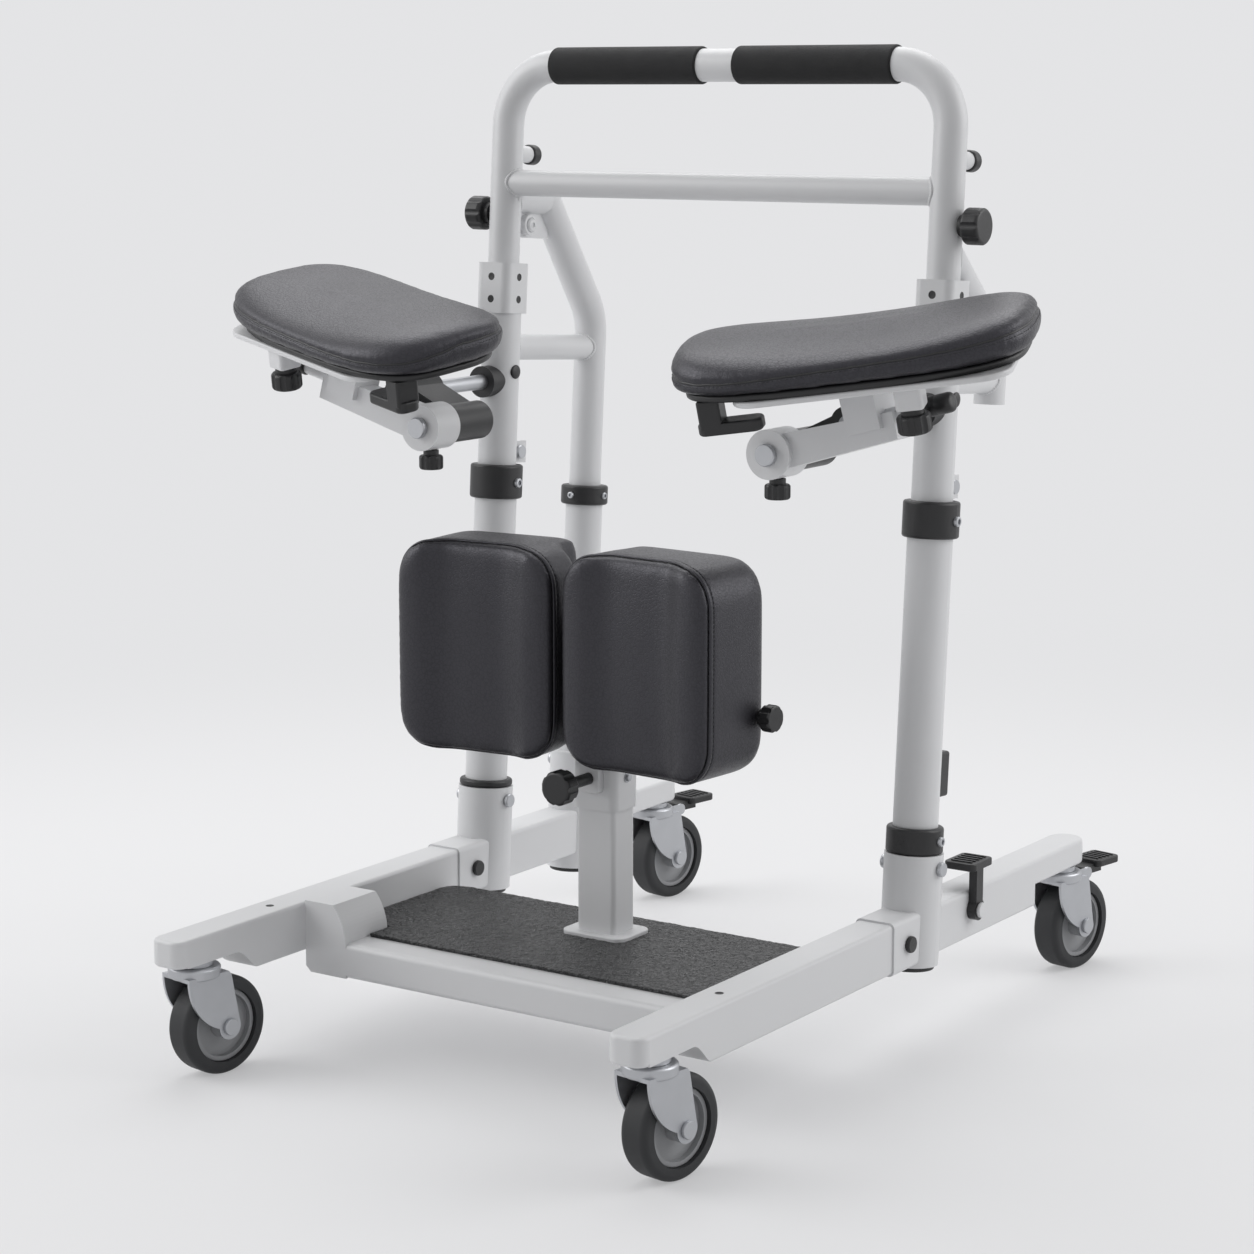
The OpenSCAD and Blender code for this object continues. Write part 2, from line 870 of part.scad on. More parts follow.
module frame_bolts() {
    color(zinc) {
        both_sides() cross_bolt_place(0, socket_top) cross_bolt(socket_d + 2 * fit);
        right_or_left(-1) cross_bolt_place(rear_reach, rear_socket_top) cross_bolt(rear_socket_d + 2 * fit);
    }
}

module bottom_cap(d, id) {
    translate([0, 0, -cap_h]) soft_disc(d - 2 * edge_r, cap_h, tread_edge_r);
    translate([0, 0, -over]) cylinder(d = id - 2 * fit, h = cap_spigot_h + over);
}

module socket_caps() {
    face_x = beam_w / 2 + bracket_t;
    color(black) {
        both_sides() lean_frame() translate([beam_x, 0, socket_foot]) bottom_cap(socket_d, lower_id);
        right_or_left(-1) lean_frame() translate([beam_x, rear_reach, socket_foot])
            bottom_cap(rear_socket_d, rear_lower_id);
        both_sides() plug_place() for (s = [-1, 1]) rotate([0, 90 * s, 0]) {
            translate([0, 0, face_x]) dome_head(plug_head_d, plug_head_h);
            translate([0, 0, face_x - beam_wall - bracket_t])
                cylinder(d = plug_d, h = beam_wall + bracket_t + over);
        }
    }
}

module buffer_block() {
    color(black) lean_frame() difference() {
        translate([beam_x, lower_d / 2 - buffer_r + buffer_d / 2, buffer_s - buffer_h / 2])
            soft_slab(buffer_w, buffer_d + buffer_r, buffer_h, buffer_r, ring_r);
        translate([beam_x, 0, 0]) cylinder(d = lower_d + 2 * fit, h = bar_top);
    }
}

// Casters

module caster_stem() {
    translate([0, 0, head_top + race_gap]) cylinder(d = fork_head_d * race_share, h = race_h);
    translate([0, 0, caster_h - over]) cylinder(d = stem_d, h = stem_l + over);
    translate([0, 0, bridge_z]) cylinder(d = king_d, h = caster_h - bridge_z);
    translate([0, 0, bridge_z - king_drop]) cylinder(d = king_d + 2 * bridge_t, h = king_drop - race_gap);
    translate([0, 0, bridge_z - king_drop]) cylinder(d = king_d, h = king_drop);
}

module caster_stems() {
    color(zinc) for (x = [-beam_x, beam_x], y = [front_y, rear_y]) at_caster(x, y) caster_stem();
}

// Side plate of a fork, in the plane of the wheel, with a swept front edge
module fork_plate() {
    head = fork_head_d / 2;
    top = bridge_z + bridge_t;
    heel = fork_boss_d / 2;
    front = bow([-head + fork_t, bridge_z - fork_t], [trail - heel, axle_z], -fork_swoop, swoop_steps);
    difference() {
        union() {
            polygon(concat(
                [[-head + fork_t, top]], front, [[trail + heel, axle_z], [head + fork_t, bridge_z],
                    [head, top]]));
            translate([trail, axle_z]) circle(d = fork_boss_d);
        }
        translate([trail, axle_z]) circle(d = axle_d + 2 * fit);
    }
}

module fork_body(brake) {
    head = fork_head_d / 2;
    difference() {
        union() {
            for (s = [-1, 1]) translate([s * (fork_in + fork_t / 2), 0, 0]) rotate([90, 0, 90])
                linear_extrude(fork_t, center = true) fork_plate();
            translate([-fork_in - fork_t / 2, -head + fork_t, bridge_z])
                cube([2 * fork_in + fork_t, 2 * head - fork_t, bridge_t]);
            translate([0, 0, bridge_z]) soft_disc(fork_head_d, bridge_t + head_h, ring_r);
            if (brake) for (s = [-1, 1])
                translate([s * (brake_hub_w / 2 + slip + brake_ear_t / 2), 0, 0]) rotate([90, 0, 90])
                    linear_extrude(brake_ear_t, center = true) brake_ear();
        }
        translate([0, 0, bridge_z - over]) cylinder(d = king_d + 2 * run, h = bridge_t + head_h + 2 * over);
    }
    translate([0, trail, axle_z]) along_x() {
        cylinder(d = axle_d, h = 2 * (fork_in + fork_t) + fit, center = true);
        for (s = [0, 180])
            rotate([s, 0, 0]) translate([0, 0, fork_in + fork_t]) dome_head(axle_head_d, axle_head_h);
    }
    if (brake) translate([0, brake_pivot_y, brake_pivot_z]) along_x()
        cylinder(d = brake_pin_d, h = brake_hub_w + 2 * (slip + brake_ear_t), center = true);
}

module brake_ear() {
    r = brake_hub_d / 2;
    translate([brake_pivot_y, brake_pivot_z]) circle(r = r);
    translate([0, brake_pivot_z - r]) square([brake_pivot_y, 2 * r - over]);
}

module wheel_body() {
    bore = axle_d / 2 + run;
    color(grey) translate([0, trail, axle_z]) along_x() difference() {
        union() {
            cylinder(d = wheel_hub_d, h = 2 * fork_in - 2 * slip, center = true);
            cylinder(d = rim_d, h = web_w, center = true);
            translate([0, 0, -rim_w / 2]) difference() {
                soft_disc(rim_d, rim_w, tread_edge_r);
                translate([0, 0, -over]) cylinder(d = rim_d - 2 * rim_wall, h = rim_w + 2 * over);
            }
        }
        cylinder(r = bore, h = 2 * fork_in, center = true);
    }
}

module tyre_body() {
    color(dark) translate([0, trail, axle_z]) along_x() difference() {
        translate([0, 0, -tyre_w / 2]) soft_disc(wheel_d, tyre_w, tyre_r);
        cylinder(d = rim_d + 2 * fit, h = 2 * tyre_w, center = true);
    }
}

module brake_pedal() {
    color(black) difference() {
        union() {
            translate([0, brake_pivot_y, brake_pivot_z]) along_x()
                cylinder(d = brake_hub_d, h = brake_hub_w, center = true);
            translate([-brake_hub_w / 2 + slip, brake_pivot_y, brake_pivot_z - brake_ear_t])
                cube([
                    brake_hub_w - 2 * slip, pedal_reach - brake_tread_l - brake_pivot_y + brake_hub_d,
                    brake_hub_d / 2 + brake_ear_t]);
            translate([0, pedal_reach - brake_tread_l, brake_tread_z - tread_t / 2])
                tread(tread_w, brake_tread_l, tread_t);
        }
        translate([0, brake_pivot_y, brake_pivot_z]) along_x()
            cylinder(d = brake_pin_d + 2 * run, h = 2 * brake_hub_w, center = true);
    }
}

// Latch pedal on the right beam

module latch_pedal() {
    reach = outer_x + slip;
    color(black) difference() {
        union() {
            translate([reach, latch_y, beam_top - latch_drop]) along_x()
                cylinder(d = latch_hub_d, h = latch_hub_l);
            translate([reach, latch_y - latch_neck_w / 2, beam_top - latch_drop])
                cube([latch_hub_l, latch_neck_w, latch_tread_z + tread_t / 2 - beam_top + latch_drop]);
            translate([reach + latch_hub_l - tread_w / 2, latch_y - tread_l / 2 + latch_shift, latch_tread_z])
                tread(tread_w, tread_l, tread_t);
        }
        translate([reach - over, latch_y, beam_top - latch_drop]) along_x()
            cylinder(d = stud_d + 2 * run, h = latch_hub_l + 2 * over);
    }
}

// Upper frame

module upper_tubes() {
    color(paint) lean_frame() both_sides() difference() {
        union() {
            translate([beam_x, 0, upper_foot]) tube(upper_d, upper_id, upper_top - upper_foot);
            translate([
                beam_x - ear_t / 2, upper_d / 2 - tube_wall,
                lower_top + collar_h - collar_lap + ear_above - ear_h / 2 + slip])
                cube([ear_t, ear_w, ear_h]);
        }
        ear_bolt_place() cylinder(d = bolt_d + 2 * fit, h = ear_w, center = true);
    }
}

module ear_bolt_place() {
    translate([beam_x, upper_d / 2 + ear_w / 2, lower_top + collar_h - collar_lap + ear_above + slip])
        along_x() children();
}

module tube_sleeves() {
    first = upper_top + (sleeve_h - sleeve_hole_gap) / 2;
    color(paint) lean_frame() both_sides() translate([beam_x, 0, 0]) difference() {
        translate([0, 0, upper_top]) linear_extrude(sleeve_h) soft_rect(sleeve_w, sleeve_w, sleeve_r);
        translate([0, 0, upper_top - over]) cylinder(d = upper_id, h = sleeve_h + 2 * over);
        for (i = [0, 1]) translate([0, 0, first + i * sleeve_hole_gap]) {
            along_x() cylinder(d = sleeve_hole_d, h = 2 * sleeve_w, center = true);
            along_y() cylinder(d = sleeve_hole_d, h = 2 * sleeve_w, center = true);
        }
    }
}

module handle_path(d, extra) {
    foot = upper_top - leg_insert;
    both_sides() translate([beam_x, 0, foot - extra]) rotate([0, 0, 90])
        bent_rod(d, bar_top - bend_r - foot + extra, bend_r, 90, beam_x - bend_r + extra);
}

module handle_bar() {
    color(paint) lean_frame() difference() {
        union() {
            handle_path(handle_d, 0);
            both_sides() translate([beam_x, 0, stub_height]) along_y() cylinder(d = stub_d, h = stub_l);
        }
        handle_path(handle_d - 2 * tube_wall, over);
        both_sides() translate([beam_x, 0, knob_height]) along_x()
            cylinder(d = knob_stem_d + 2 * slip, h = handle_d);
    }
}

module legs_cut() {
    both_sides() translate([beam_x, 0, upper_foot])
        cylinder(d = handle_d + 2 * fit, h = bar_top - bend_r - upper_foot);
}

module crossbar() {
    color(paint) lean_frame() difference() {
        translate([0, 0, cross_height]) along_x() difference() {
            cylinder(d = cross_d, h = 2 * beam_x, center = true);
            cylinder(d = cross_d - 2 * tube_wall, h = 2 * beam_x + over, center = true);
        }
        legs_cut();
        both_sides() translate([beam_x, -cross_d, cross_height - cross_d])
            cube([handle_d, 2 * cross_d, 2 * cross_d]);
    }
}

module grip() {
    l = beam_x - bend_r - grip_gap / 2;
    color(black) lean_frame() translate([grip_gap / 2, 0, bar_top]) along_x()
        soft_ring(grip_d, handle_d + 2 * fit, l, (grip_d - handle_d) / 2 - fit);
}

module grips() {
    both_sides() grip();
}

// The space of the column, which the braces are trimmed to
module column_cut() {
    translate([beam_x, 0, 0]) {
        cylinder(d = handle_d + 2 * fit, h = bar_top);
        cylinder(d = upper_d + 2 * fit, h = upper_top);
        translate([-handle_d, -2 * handle_d, 0]) cube([2 * handle_d, 2 * handle_d, bar_top + handle_d]);
    }
    translate([beam_x, 0, upper_top]) linear_extrude(sleeve_h)
        soft_rect(sleeve_w + 2 * fit, sleeve_w + 2 * fit, sleeve_r);
}

// A brace: up from its foot, a bend towards the handle leg, and on to the leg
module brace(d, reach, foot, r, angle, top) {
    set_back = r * tan(angle / 2);
    l1 = top - reach / tan(angle) - set_back - foot;
    l2 = reach / sin(angle) - set_back;
    difference() {
        translate([beam_x, reach, foot]) mirror([0, 1, 0]) difference() {
            bent_rod(d, l1, r, angle, l2);
            translate([0, 0, tube_wall]) bent_rod(d - 2 * tube_wall, l1 - tube_wall, r, angle, l2 + over);
        }
        column_cut();
    }
}

// The rod of the left brace: as above, then an elbow and level to the leg behind the crossbar
module elbow_rod(d, foot) {
    set_back = brace_bend_r * tan(brace_angle / 2);
    l1 = brace_top - rear_reach / tan(brace_angle) - set_back - foot;
    l2 = (rear_reach - elbow_y) / sin(brace_angle) - set_back;
    translate([beam_x, rear_reach, foot]) mirror([0, 1, 0]) bent_rod(d, l1, brace_bend_r, brace_angle, l2);
    translate([beam_x, elbow_y, elbow_height]) {
        sphere(d = d + 2 * elbow_t);
        mirror([0, 1, 0]) along_y() cylinder(d = d, h = elbow_y);
    }
}

// The short tube between a column and the foot of its brace
module tie(d, reach, height) {
    difference() {
        translate([beam_x, 0, height]) along_y() tube(tie_d, tie_d - 2 * tube_wall, reach);
        column_cut();
        translate([beam_x, reach, 0]) cylinder(d = d - tube_wall, h = bar_top);
    }
}

module left_brace() {
    color(paint) right_or_left(-1) lean_frame() {
        difference() {
            elbow_rod(rear_upper_d, rear_upper_foot);
            elbow_rod(rear_upper_d - 2 * tube_wall, rear_upper_foot + tube_wall);
            column_cut();
            translate([0, 0, cross_height]) along_x()
                cylinder(d = cross_d + 2 * slip, h = 2 * beam_x, center = true);
        }
        tie(rear_upper_d, rear_reach, tie_height);
        difference() {
            translate([beam_x - lug_t / 2, 0, lug_height - lug_h / 2])
                cube([lug_t, (brace_top - lug_height) * tan(brace_angle) - rear_upper_d / 2, lug_h]);
            column_cut();
        }
    }
}

module right_brace() {
    foot = right_tie_height - right_drop;
    color(paint) lean_frame() {
        brace(right_brace_d, right_reach, foot, right_bend_r, right_brace_angle, right_brace_top);
        tie(right_brace_d, right_reach, right_tie_height);
    }
}

module stub_caps() {
    color(black) lean_frame() both_sides() translate([beam_x, stub_l - stub_cap_lap, stub_height])
        along_y() difference() {
        soft_disc(stub_cap_d, stub_cap_h, ring_r);
        translate([0, 0, -over]) cylinder(d = stub_d + 2 * fit, h = stub_cap_lap + over);
    }
}

// Arm supports

module support_rods() {
    end = lean_y(rod_z);
    color(zinc) both_sides() difference() {
        translate([beam_x, block_y, rod_z]) along_y() cylinder(d = rod_d, h = end - block_y);
        lean_frame() translate([beam_x, 0, 0]) cylinder(d = upper_d + 2 * fit, h = upper_top);
    }
}

module bushes() {
    end = lean_y(rod_z);
    color(black) both_sides() {
        difference() {
            translate([beam_x, end - upper_d / 2 - flange_l, rod_z]) along_y()
                cylinder(d = flange_d, h = flange_l + upper_d / 2);
            translate([beam_x, end - upper_d / 2 - flange_l - over, rod_z]) along_y()
                cylinder(d = rod_d + 2 * fit, h = flange_l + upper_d / 2 + 2 * over);
            lean_frame() translate([beam_x, 0, 0]) cylinder(d = upper_d + 2 * fit, h = upper_top);
        }
        translate([pivot_x, hub_y + hub_l + slip, pivot_z]) along_y()
            tube(washer_d, shaft_d + 2 * fit, washer_t - slip);
    }
}

module pivot_blocks() {
    dx = beam_x - pivot_x;
    dz = rod_z - pivot_z;
    color(black) both_sides() difference() {
        union() {
            translate([pivot_x, block_y, pivot_z]) along_y() cylinder(d = block_pivot_d, h = block_l);
            translate([beam_x, block_y, rod_z]) along_y() cylinder(d = block_rod_d, h = block_l);
            translate([pivot_x, block_y, pivot_z]) rotate([0, -atan2(dz, dx), 0])
                translate([0, block_inset, -block_web_h / 2])
                    cube([norm([dx, dz]), block_l - 2 * block_inset, block_web_h]);
        }
        translate([beam_x, block_y - over, rod_z]) along_y()
            cylinder(d = rod_d + 2 * fit, h = block_l + 2 * over);
        translate([pivot_x, block_y - over, pivot_z]) along_y()
            cylinder(d = shaft_d + 2 * fit, h = block_l + 2 * over);
    }
}

module column_bolts() {
    color(zinc) both_sides() {
        translate([pivot_x, hub_y - slip, pivot_z]) along_y() {
            cylinder(d = shaft_d, h = block_y + block_l - hub_y + slip);
            rotate([180, 0, 0]) dome_head(shaft_head_d, shaft_head_h);
        }
        lean_frame() ear_bolt_place() cross_bolt(ear_t + 2 * fit);
    }
}

module handle_knob() {
    color(black) lean_frame() translate([beam_x + handle_d / 2 + slip, 0, knob_height]) along_x()
        star_knob(knob_d, knob_h, knob_skirt_d, knob_skirt_h, knob_stem_d, handle_d / 2);
}

module left_handle_knob() {
    right_or_left(-1) handle_knob();
}

module right_handle_knob() {
    right_or_left(1) handle_knob();
}

// Arms, trays and pads

module tray_half_space() {
    pad_frame() translate([-arm_pad_l, -arm_pad_l, -tray_t])
        cube([2 * arm_pad_l, 2 * arm_pad_l, arm_pad_l]);
}

module arm() {
    mid_y = hub_y + hub_l / 2;
    color(paint) difference() {
        union() {
            translate([pivot_x, hub_y, pivot_z]) along_y() cylinder(d = hub_d, h = hub_l);
            translate([pivot_x, mid_y + arm_t / 2, pivot_z]) rotate([0, -arm_rise, 0]) rotate([90, 0, 0])
                linear_extrude(arm_t) polygon([
                    [0, -arm_root_h / 2], [arm_l, -arm_tip_h / 2], [arm_l, arm_tip_h / 2], [0,
                        arm_root_h / 2]]);
            difference() {
                translate([pivot_x, mid_y, pivot_z]) rotate([0, -arm_rise, 0])
                    translate([riser_at - riser_w / 2, -riser_t / 2, 0]) cube([riser_w, riser_t, riser_h]);
                tray_half_space();
            }
        }
        translate([pivot_x, hub_y - over, pivot_z]) along_y()
            cylinder(d = shaft_d + 2 * run, h = hub_l + 2 * over);
        translate([pivot_x, mid_y, pivot_z - hub_d])
            cylinder(d = knob_stem_d + 2 * slip, h = hub_d - shaft_d / 2);
    }
}

module left_arm() {
    right_or_left(-1) arm();
}

module right_arm() {
    right_or_left(1) arm();
}

module tray() {
    color(paint) pad_frame() difference() {
        union() {
            translate([tray_shift, tray_back, -tray_t])
                soft_slab(tray_l, tray_d, tray_t, tray_r, tray_edge_r);
            translate([tray_knob_u, tray_knob_v, -tray_t - tray_foot_h])
                soft_slab(tray_foot_w, tray_foot_w, tray_foot_h + tray_t / 2, tray_edge_r * 2, tray_edge_r);
        }
        translate([tray_knob_u, tray_knob_v, -tray_t - tray_foot_h - over])
            cylinder(d = knob_stem_d + 2 * slip, h = tray_foot_h + over);
    }
}

module left_tray() {
    right_or_left(-1) tray();
}

module right_tray() {
    right_or_left(1) tray();
}

module arm_pad() {
    color(hide) pad_frame() cushion(
        arm_pad_l, arm_pad_d, arm_pad_t, arm_pad_dip, pad_power, board_share, board_t, cushion_shares);
}

module left_arm_pad() {
    right_or_left(-1) arm_pad();
}

module right_arm_pad() {
    right_or_left(1) arm_pad();
}

module pad_lever() {
    color(black) pad_frame() {
        translate([tab_foot_u, tab_v, -tab_foot_h])
            soft_slab(tab_foot_w, tab_w, tab_foot_h, tab_edge_r, tray_edge_r);
        translate([tab_u, tab_v, -tab_foot_h - tab_t / 2])
            soft_slab(tab_l, tab_w, tab_t, tab_r, tab_edge_r);
    }
}

module left_pad_lever() {
    right_or_left(-1) pad_lever();
}

module right_pad_lever() {
    right_or_left(1) pad_lever();
}

module lock_knob() {
    color(black) translate([pivot_x, hub_y + hub_l / 2, pivot_z - hub_d / 2 - slip]) rotate([180, 0, 0])
        star_knob(lock_knob_d, lock_knob_h, knob_stem_d * 2, bolt_head_h, knob_stem_d, lock_stem_l);
}

module left_lock_knob() {
    right_or_left(-1) lock_knob();
}

module right_lock_knob() {
    right_or_left(1) lock_knob();
}

module tray_knob() {
    color(black) pad_frame() translate([tray_knob_u, tray_knob_v, -tray_t - tray_foot_h - slip])
        rotate([180, 0, 0])
        star_knob(tray_knob_d, tray_knob_h, knob_skirt_d, bolt_head_h, knob_stem_d, tray_foot_h - slip);
}

module left_tray_knob() {
    right_or_left(-1) tray_knob();
}

module right_tray_knob() {
    right_or_left(1) tray_knob();
}

// Knee carriage

module knee_sleeve() {
    front = post_y - sleeve_out_d / 2;
    color(paint) difference() {
        union() {
            translate([0, post_y, sleeve_z]) linear_extrude(sleeve_l)
                soft_rect(sleeve_out_w, sleeve_out_d, post_r + slip + sleeve_wall);
            translate([0, front + sleeve_wall, sleeve_z + plunger_up]) rotate([90, 0, 0])
                soft_slab(plunger_flange_w, plunger_flange_h, plunger_flange_t + sleeve_wall,
                    plunger_flange_r, tread_edge_r);
        }
        translate([0, post_y, sleeve_z - over]) linear_extrude(sleeve_l + 2 * over)
            soft_rect(post_w + 2 * slip, post_d + 2 * slip, post_r + slip);
        translate([0, front - plunger_flange_t - over, sleeve_z + plunger_up]) along_y()
            cylinder(d = plunger_d + 2 * run, h = plunger_flange_t + 2 * sleeve_wall);
    }
}

// Turns a knee pad and what is fixed to it about the pad's inner front edge
module knee_turn() {
    translate([knee_gap, post_y - knee_front, 0]) rotate([0, 0, -knee_toe])
        translate([-knee_gap, knee_front - post_y, 0]) children();
}

module knee_bracket() {
    half = sleeve_out_w / 2 + fit;
    back = post_y + sleeve_out_d / 2 + fit;
    rear = post_y - knee_front + knee_t;
    color(paint) difference() {
        union() {
            both_sides() knee_turn() translate([half - 2 * strap_t, rear, ear_z])
                cube([ear_reach - half + 2 * strap_t, strap_t, ear_span_h]);
            translate([-half - strap_t, rear, ear_z])
                cube([2 * (half + strap_t), back + strap_t - rear, ear_span_h]);
        }
        translate([-half, rear - 3 * strap_t, ear_z - over])
            cube([2 * half, back - rear + 3 * strap_t, ear_span_h + 2 * over]);
        both_sides() knee_turn() for (i = [1 : ear_hole_rows])
            translate([ear_reach * ear_hole_share, rear - over, ear_z + i * ear_span_h / (ear_hole_rows + 1)])
                along_y() cylinder(d = ear_hole_d, h = strap_t + 2 * over);
    }
}

module knee_pad() {
    color(hide) difference() {
        knee_turn() translate([knee_gap + knee_w / 2, post_y - knee_front + knee_t, knee_z + knee_h / 2])
            rotate([90, 0, 0])
                cushion(knee_w, knee_h, knee_t, knee_dip, knee_power, board_share, board_t, knee_shares);
        translate([-knee_w, post_y - knee_front + knee_front_t, knee_z - over])
            cube([knee_w + knee_pocket_x, knee_t, knee_h + 2 * over]);
        knee_turn() translate([knee_gap + knee_w - knee_stem_l, post_y, knee_knob_z]) along_x()
            cylinder(d = knob_stem_d + 2 * slip, h = knee_stem_l + over);
    }
}

module left_knee_pad() {
    right_or_left(-1) knee_pad();
}

module right_knee_pad() {
    right_or_left(1) knee_pad();
}

module knee_knob() {
    color(black) knee_turn() translate([knee_gap + knee_w + slip, post_y, knee_knob_z]) along_x()
        star_knob(knee_knob_d, knee_knob_h, knob_stem_d * 2, bolt_head_h, knob_stem_d, knee_stem_l - slip);
}

module left_knee_knob() {
    right_or_left(-1) knee_knob();
}

module right_knee_knob() {
    right_or_left(1) knee_knob();
}

module plunger() {
    face = post_y - sleeve_out_d / 2 - plunger_flange_t;
    tip = post_y - post_d / 2 - slip;
    color(black) translate([0, face - slip, sleeve_z + plunger_up]) rotate([90, 0, 0])
        translate([0, 0, plunger_stem - tip + face]) {
            star_knob(plunger_knob_d, plunger_knob_h, knob_skirt_d, knob_skirt_h, plunger_d, plunger_stem);
        }
}

// One piece of each kind at each caster

module fork(x, y, brake) {
    color(zinc) at_caster(x, y) fork_body(brake);
}

module fl_fork() {
    fork(-beam_x, front_y, false);
}

module fr_fork() {
    fork(beam_x, front_y, false);
}

module rl_fork() {
    fork(-beam_x, rear_y, true);
}

module rr_fork() {
    fork(beam_x, rear_y, true);
}

module fl_wheel() {
    at_caster(-beam_x, front_y) wheel_body();
}

module fr_wheel() {
    at_caster(beam_x, front_y) wheel_body();
}

module rl_wheel() {
    at_caster(-beam_x, rear_y) wheel_body();
}

module rr_wheel() {
    at_caster(beam_x, rear_y) wheel_body();
}

module fl_tyre() {
    at_caster(-beam_x, front_y) tyre_body();
}

module fr_tyre() {
    at_caster(beam_x, front_y) tyre_body();
}

module rl_tyre() {
    at_caster(-beam_x, rear_y) tyre_body();
}

module rr_tyre() {
    at_caster(beam_x, rear_y) tyre_body();
}

module rl_brake_pedal() {
    at_caster(-beam_x, rear_y) brake_pedal();
}

module rr_brake_pedal() {
    at_caster(beam_x, rear_y) brake_pedal();
}

left_side_frame();
right_side_frame();
front_noses();
footplate();
foot_mat();
knee_post();
lower_tubes();
clamp_collars();
frame_bolts();
socket_caps();
buffer_block();
caster_stems();
latch_pedal();
upper_tubes();
tube_sleeves();
handle_bar();
crossbar();
grips();
left_brace();
right_brace();
stub_caps();
column_bolts();
support_rods();
bushes();
pivot_blocks();
left_handle_knob();
right_handle_knob();
left_arm();
right_arm();
left_tray();
right_tray();
left_arm_pad();
right_arm_pad();
left_pad_lever();
right_pad_lever();
left_lock_knob();
right_lock_knob();
left_tray_knob();
right_tray_knob();
knee_sleeve();
knee_bracket();
left_knee_pad();
right_knee_pad();
left_knee_knob();
right_knee_knob();
plunger();
fl_fork();
fr_fork();
rl_fork();
rr_fork();
fl_wheel();
fr_wheel();
rl_wheel();
rr_wheel();
fl_tyre();
fr_tyre();
rl_tyre();
rr_tyre();
rl_brake_pedal();
rr_brake_pedal();
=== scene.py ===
"""Looks of a standing and transfer aid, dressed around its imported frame."""

import math

import bpy
import numpy as np
from mathutils import Euler, Matrix, Vector, noise
from mathutils.bvhtree import BVHTree
from mathutils.kdtree import KDTree


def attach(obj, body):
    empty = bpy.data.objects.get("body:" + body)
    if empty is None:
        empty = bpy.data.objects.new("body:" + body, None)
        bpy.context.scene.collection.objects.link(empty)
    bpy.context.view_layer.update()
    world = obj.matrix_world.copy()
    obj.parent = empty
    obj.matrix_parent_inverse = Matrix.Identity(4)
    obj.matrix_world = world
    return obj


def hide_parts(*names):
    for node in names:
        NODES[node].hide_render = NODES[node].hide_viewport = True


bl_info = {
    "name": "Standing aid looks",
    "version": (1, 0, 0),
    "blender": (4, 5, 0),
    "location": "View3D > Sidebar > Standing aid",
    "description": "Finishes, cushions and small details of a standing and transfer aid",
    "category": "Object",
}

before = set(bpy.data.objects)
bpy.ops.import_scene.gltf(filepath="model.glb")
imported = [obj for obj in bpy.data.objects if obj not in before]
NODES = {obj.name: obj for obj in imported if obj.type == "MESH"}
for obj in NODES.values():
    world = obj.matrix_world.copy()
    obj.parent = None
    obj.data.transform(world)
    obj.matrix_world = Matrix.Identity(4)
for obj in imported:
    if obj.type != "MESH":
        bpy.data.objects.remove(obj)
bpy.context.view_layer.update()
MM = 0.001

# Places shared with the part's source, in millimetres
BEAM_X = 269
COLUMN_Y = 35.111
POST_Y = -107.889
LEAN = 4
PAD_PLACE = (293, COLUMN_Y - 153, 705)
PAD_TURN = (10, -8, 18)
ARM_PAD = (348, 192, 46)
ARM_DIP = 14
ARM_POWER = 3.2
ARM_FOOT = 7.2
ARM_SEAM = 31.5
ARM_CROWN = 53
ARM_SINK = 9
KNEE_PAD = (182, 215, 104)
KNEE_DIP = 13
KNEE_CORNER = 38
KNEE_LEFT = 4
KNEE_FOOT = 304
KNEE_FRONT = POST_Y - 92
KNEE_TOE = 5
POCKET_X = 36
POCKET_Y = POST_Y - 30
HUB = (208, -120.9, 621)
ARM_RISE = 15
ARM_TUBE_UP = 9.5

# Small details, in millimetres: distance from the axis of a column's tube, height along its lean, radius
COLLAR_SCREW = (28.0, 541, 5.2)
RING_SCREW = (28.4, 219, 5.0)
RING_HOLE = (29.0, 219, 3.2)
REAR_SCREW = (26.0, 520, 3.8)
COLUMN_PLUG = (20.4, 661, 7.6)
LUG_BOLT = (2.9, 820, 11.5)
LUG_Y = 34
REAR_TUBE_Y = 170
HOLE_REACH = 21.55
HOLE_HEIGHTS = (739, 763)
HOLE_R = 4.1
KNEE_SLEEVE_X = 26.2
SLEEVE_BOLT_Z = 280
SLEEVE_BOLT_R = 4.2
NOSE_HOLE = (-315.89, 148.45)
NOSE_HOLE_R = 4.3
AHEAD = (0, -1)

# Welds, in millimetres; a tie has its column, its height, its reach and the radius of the brace
CROSSBAR_HEIGHT = 864
CROSS_TUBE_R = 14
HANDLE_R = 17.2
COLUMN_R = 21
BRACE_TIES = ((-BEAM_X, 687, REAR_TUBE_Y, 18), (BEAM_X, 679, 112, 16))
BRACE_TOP = (16.5, 18, 17.0, 850)
WELD_POINTS = 72
WELD_STEP = 1.5

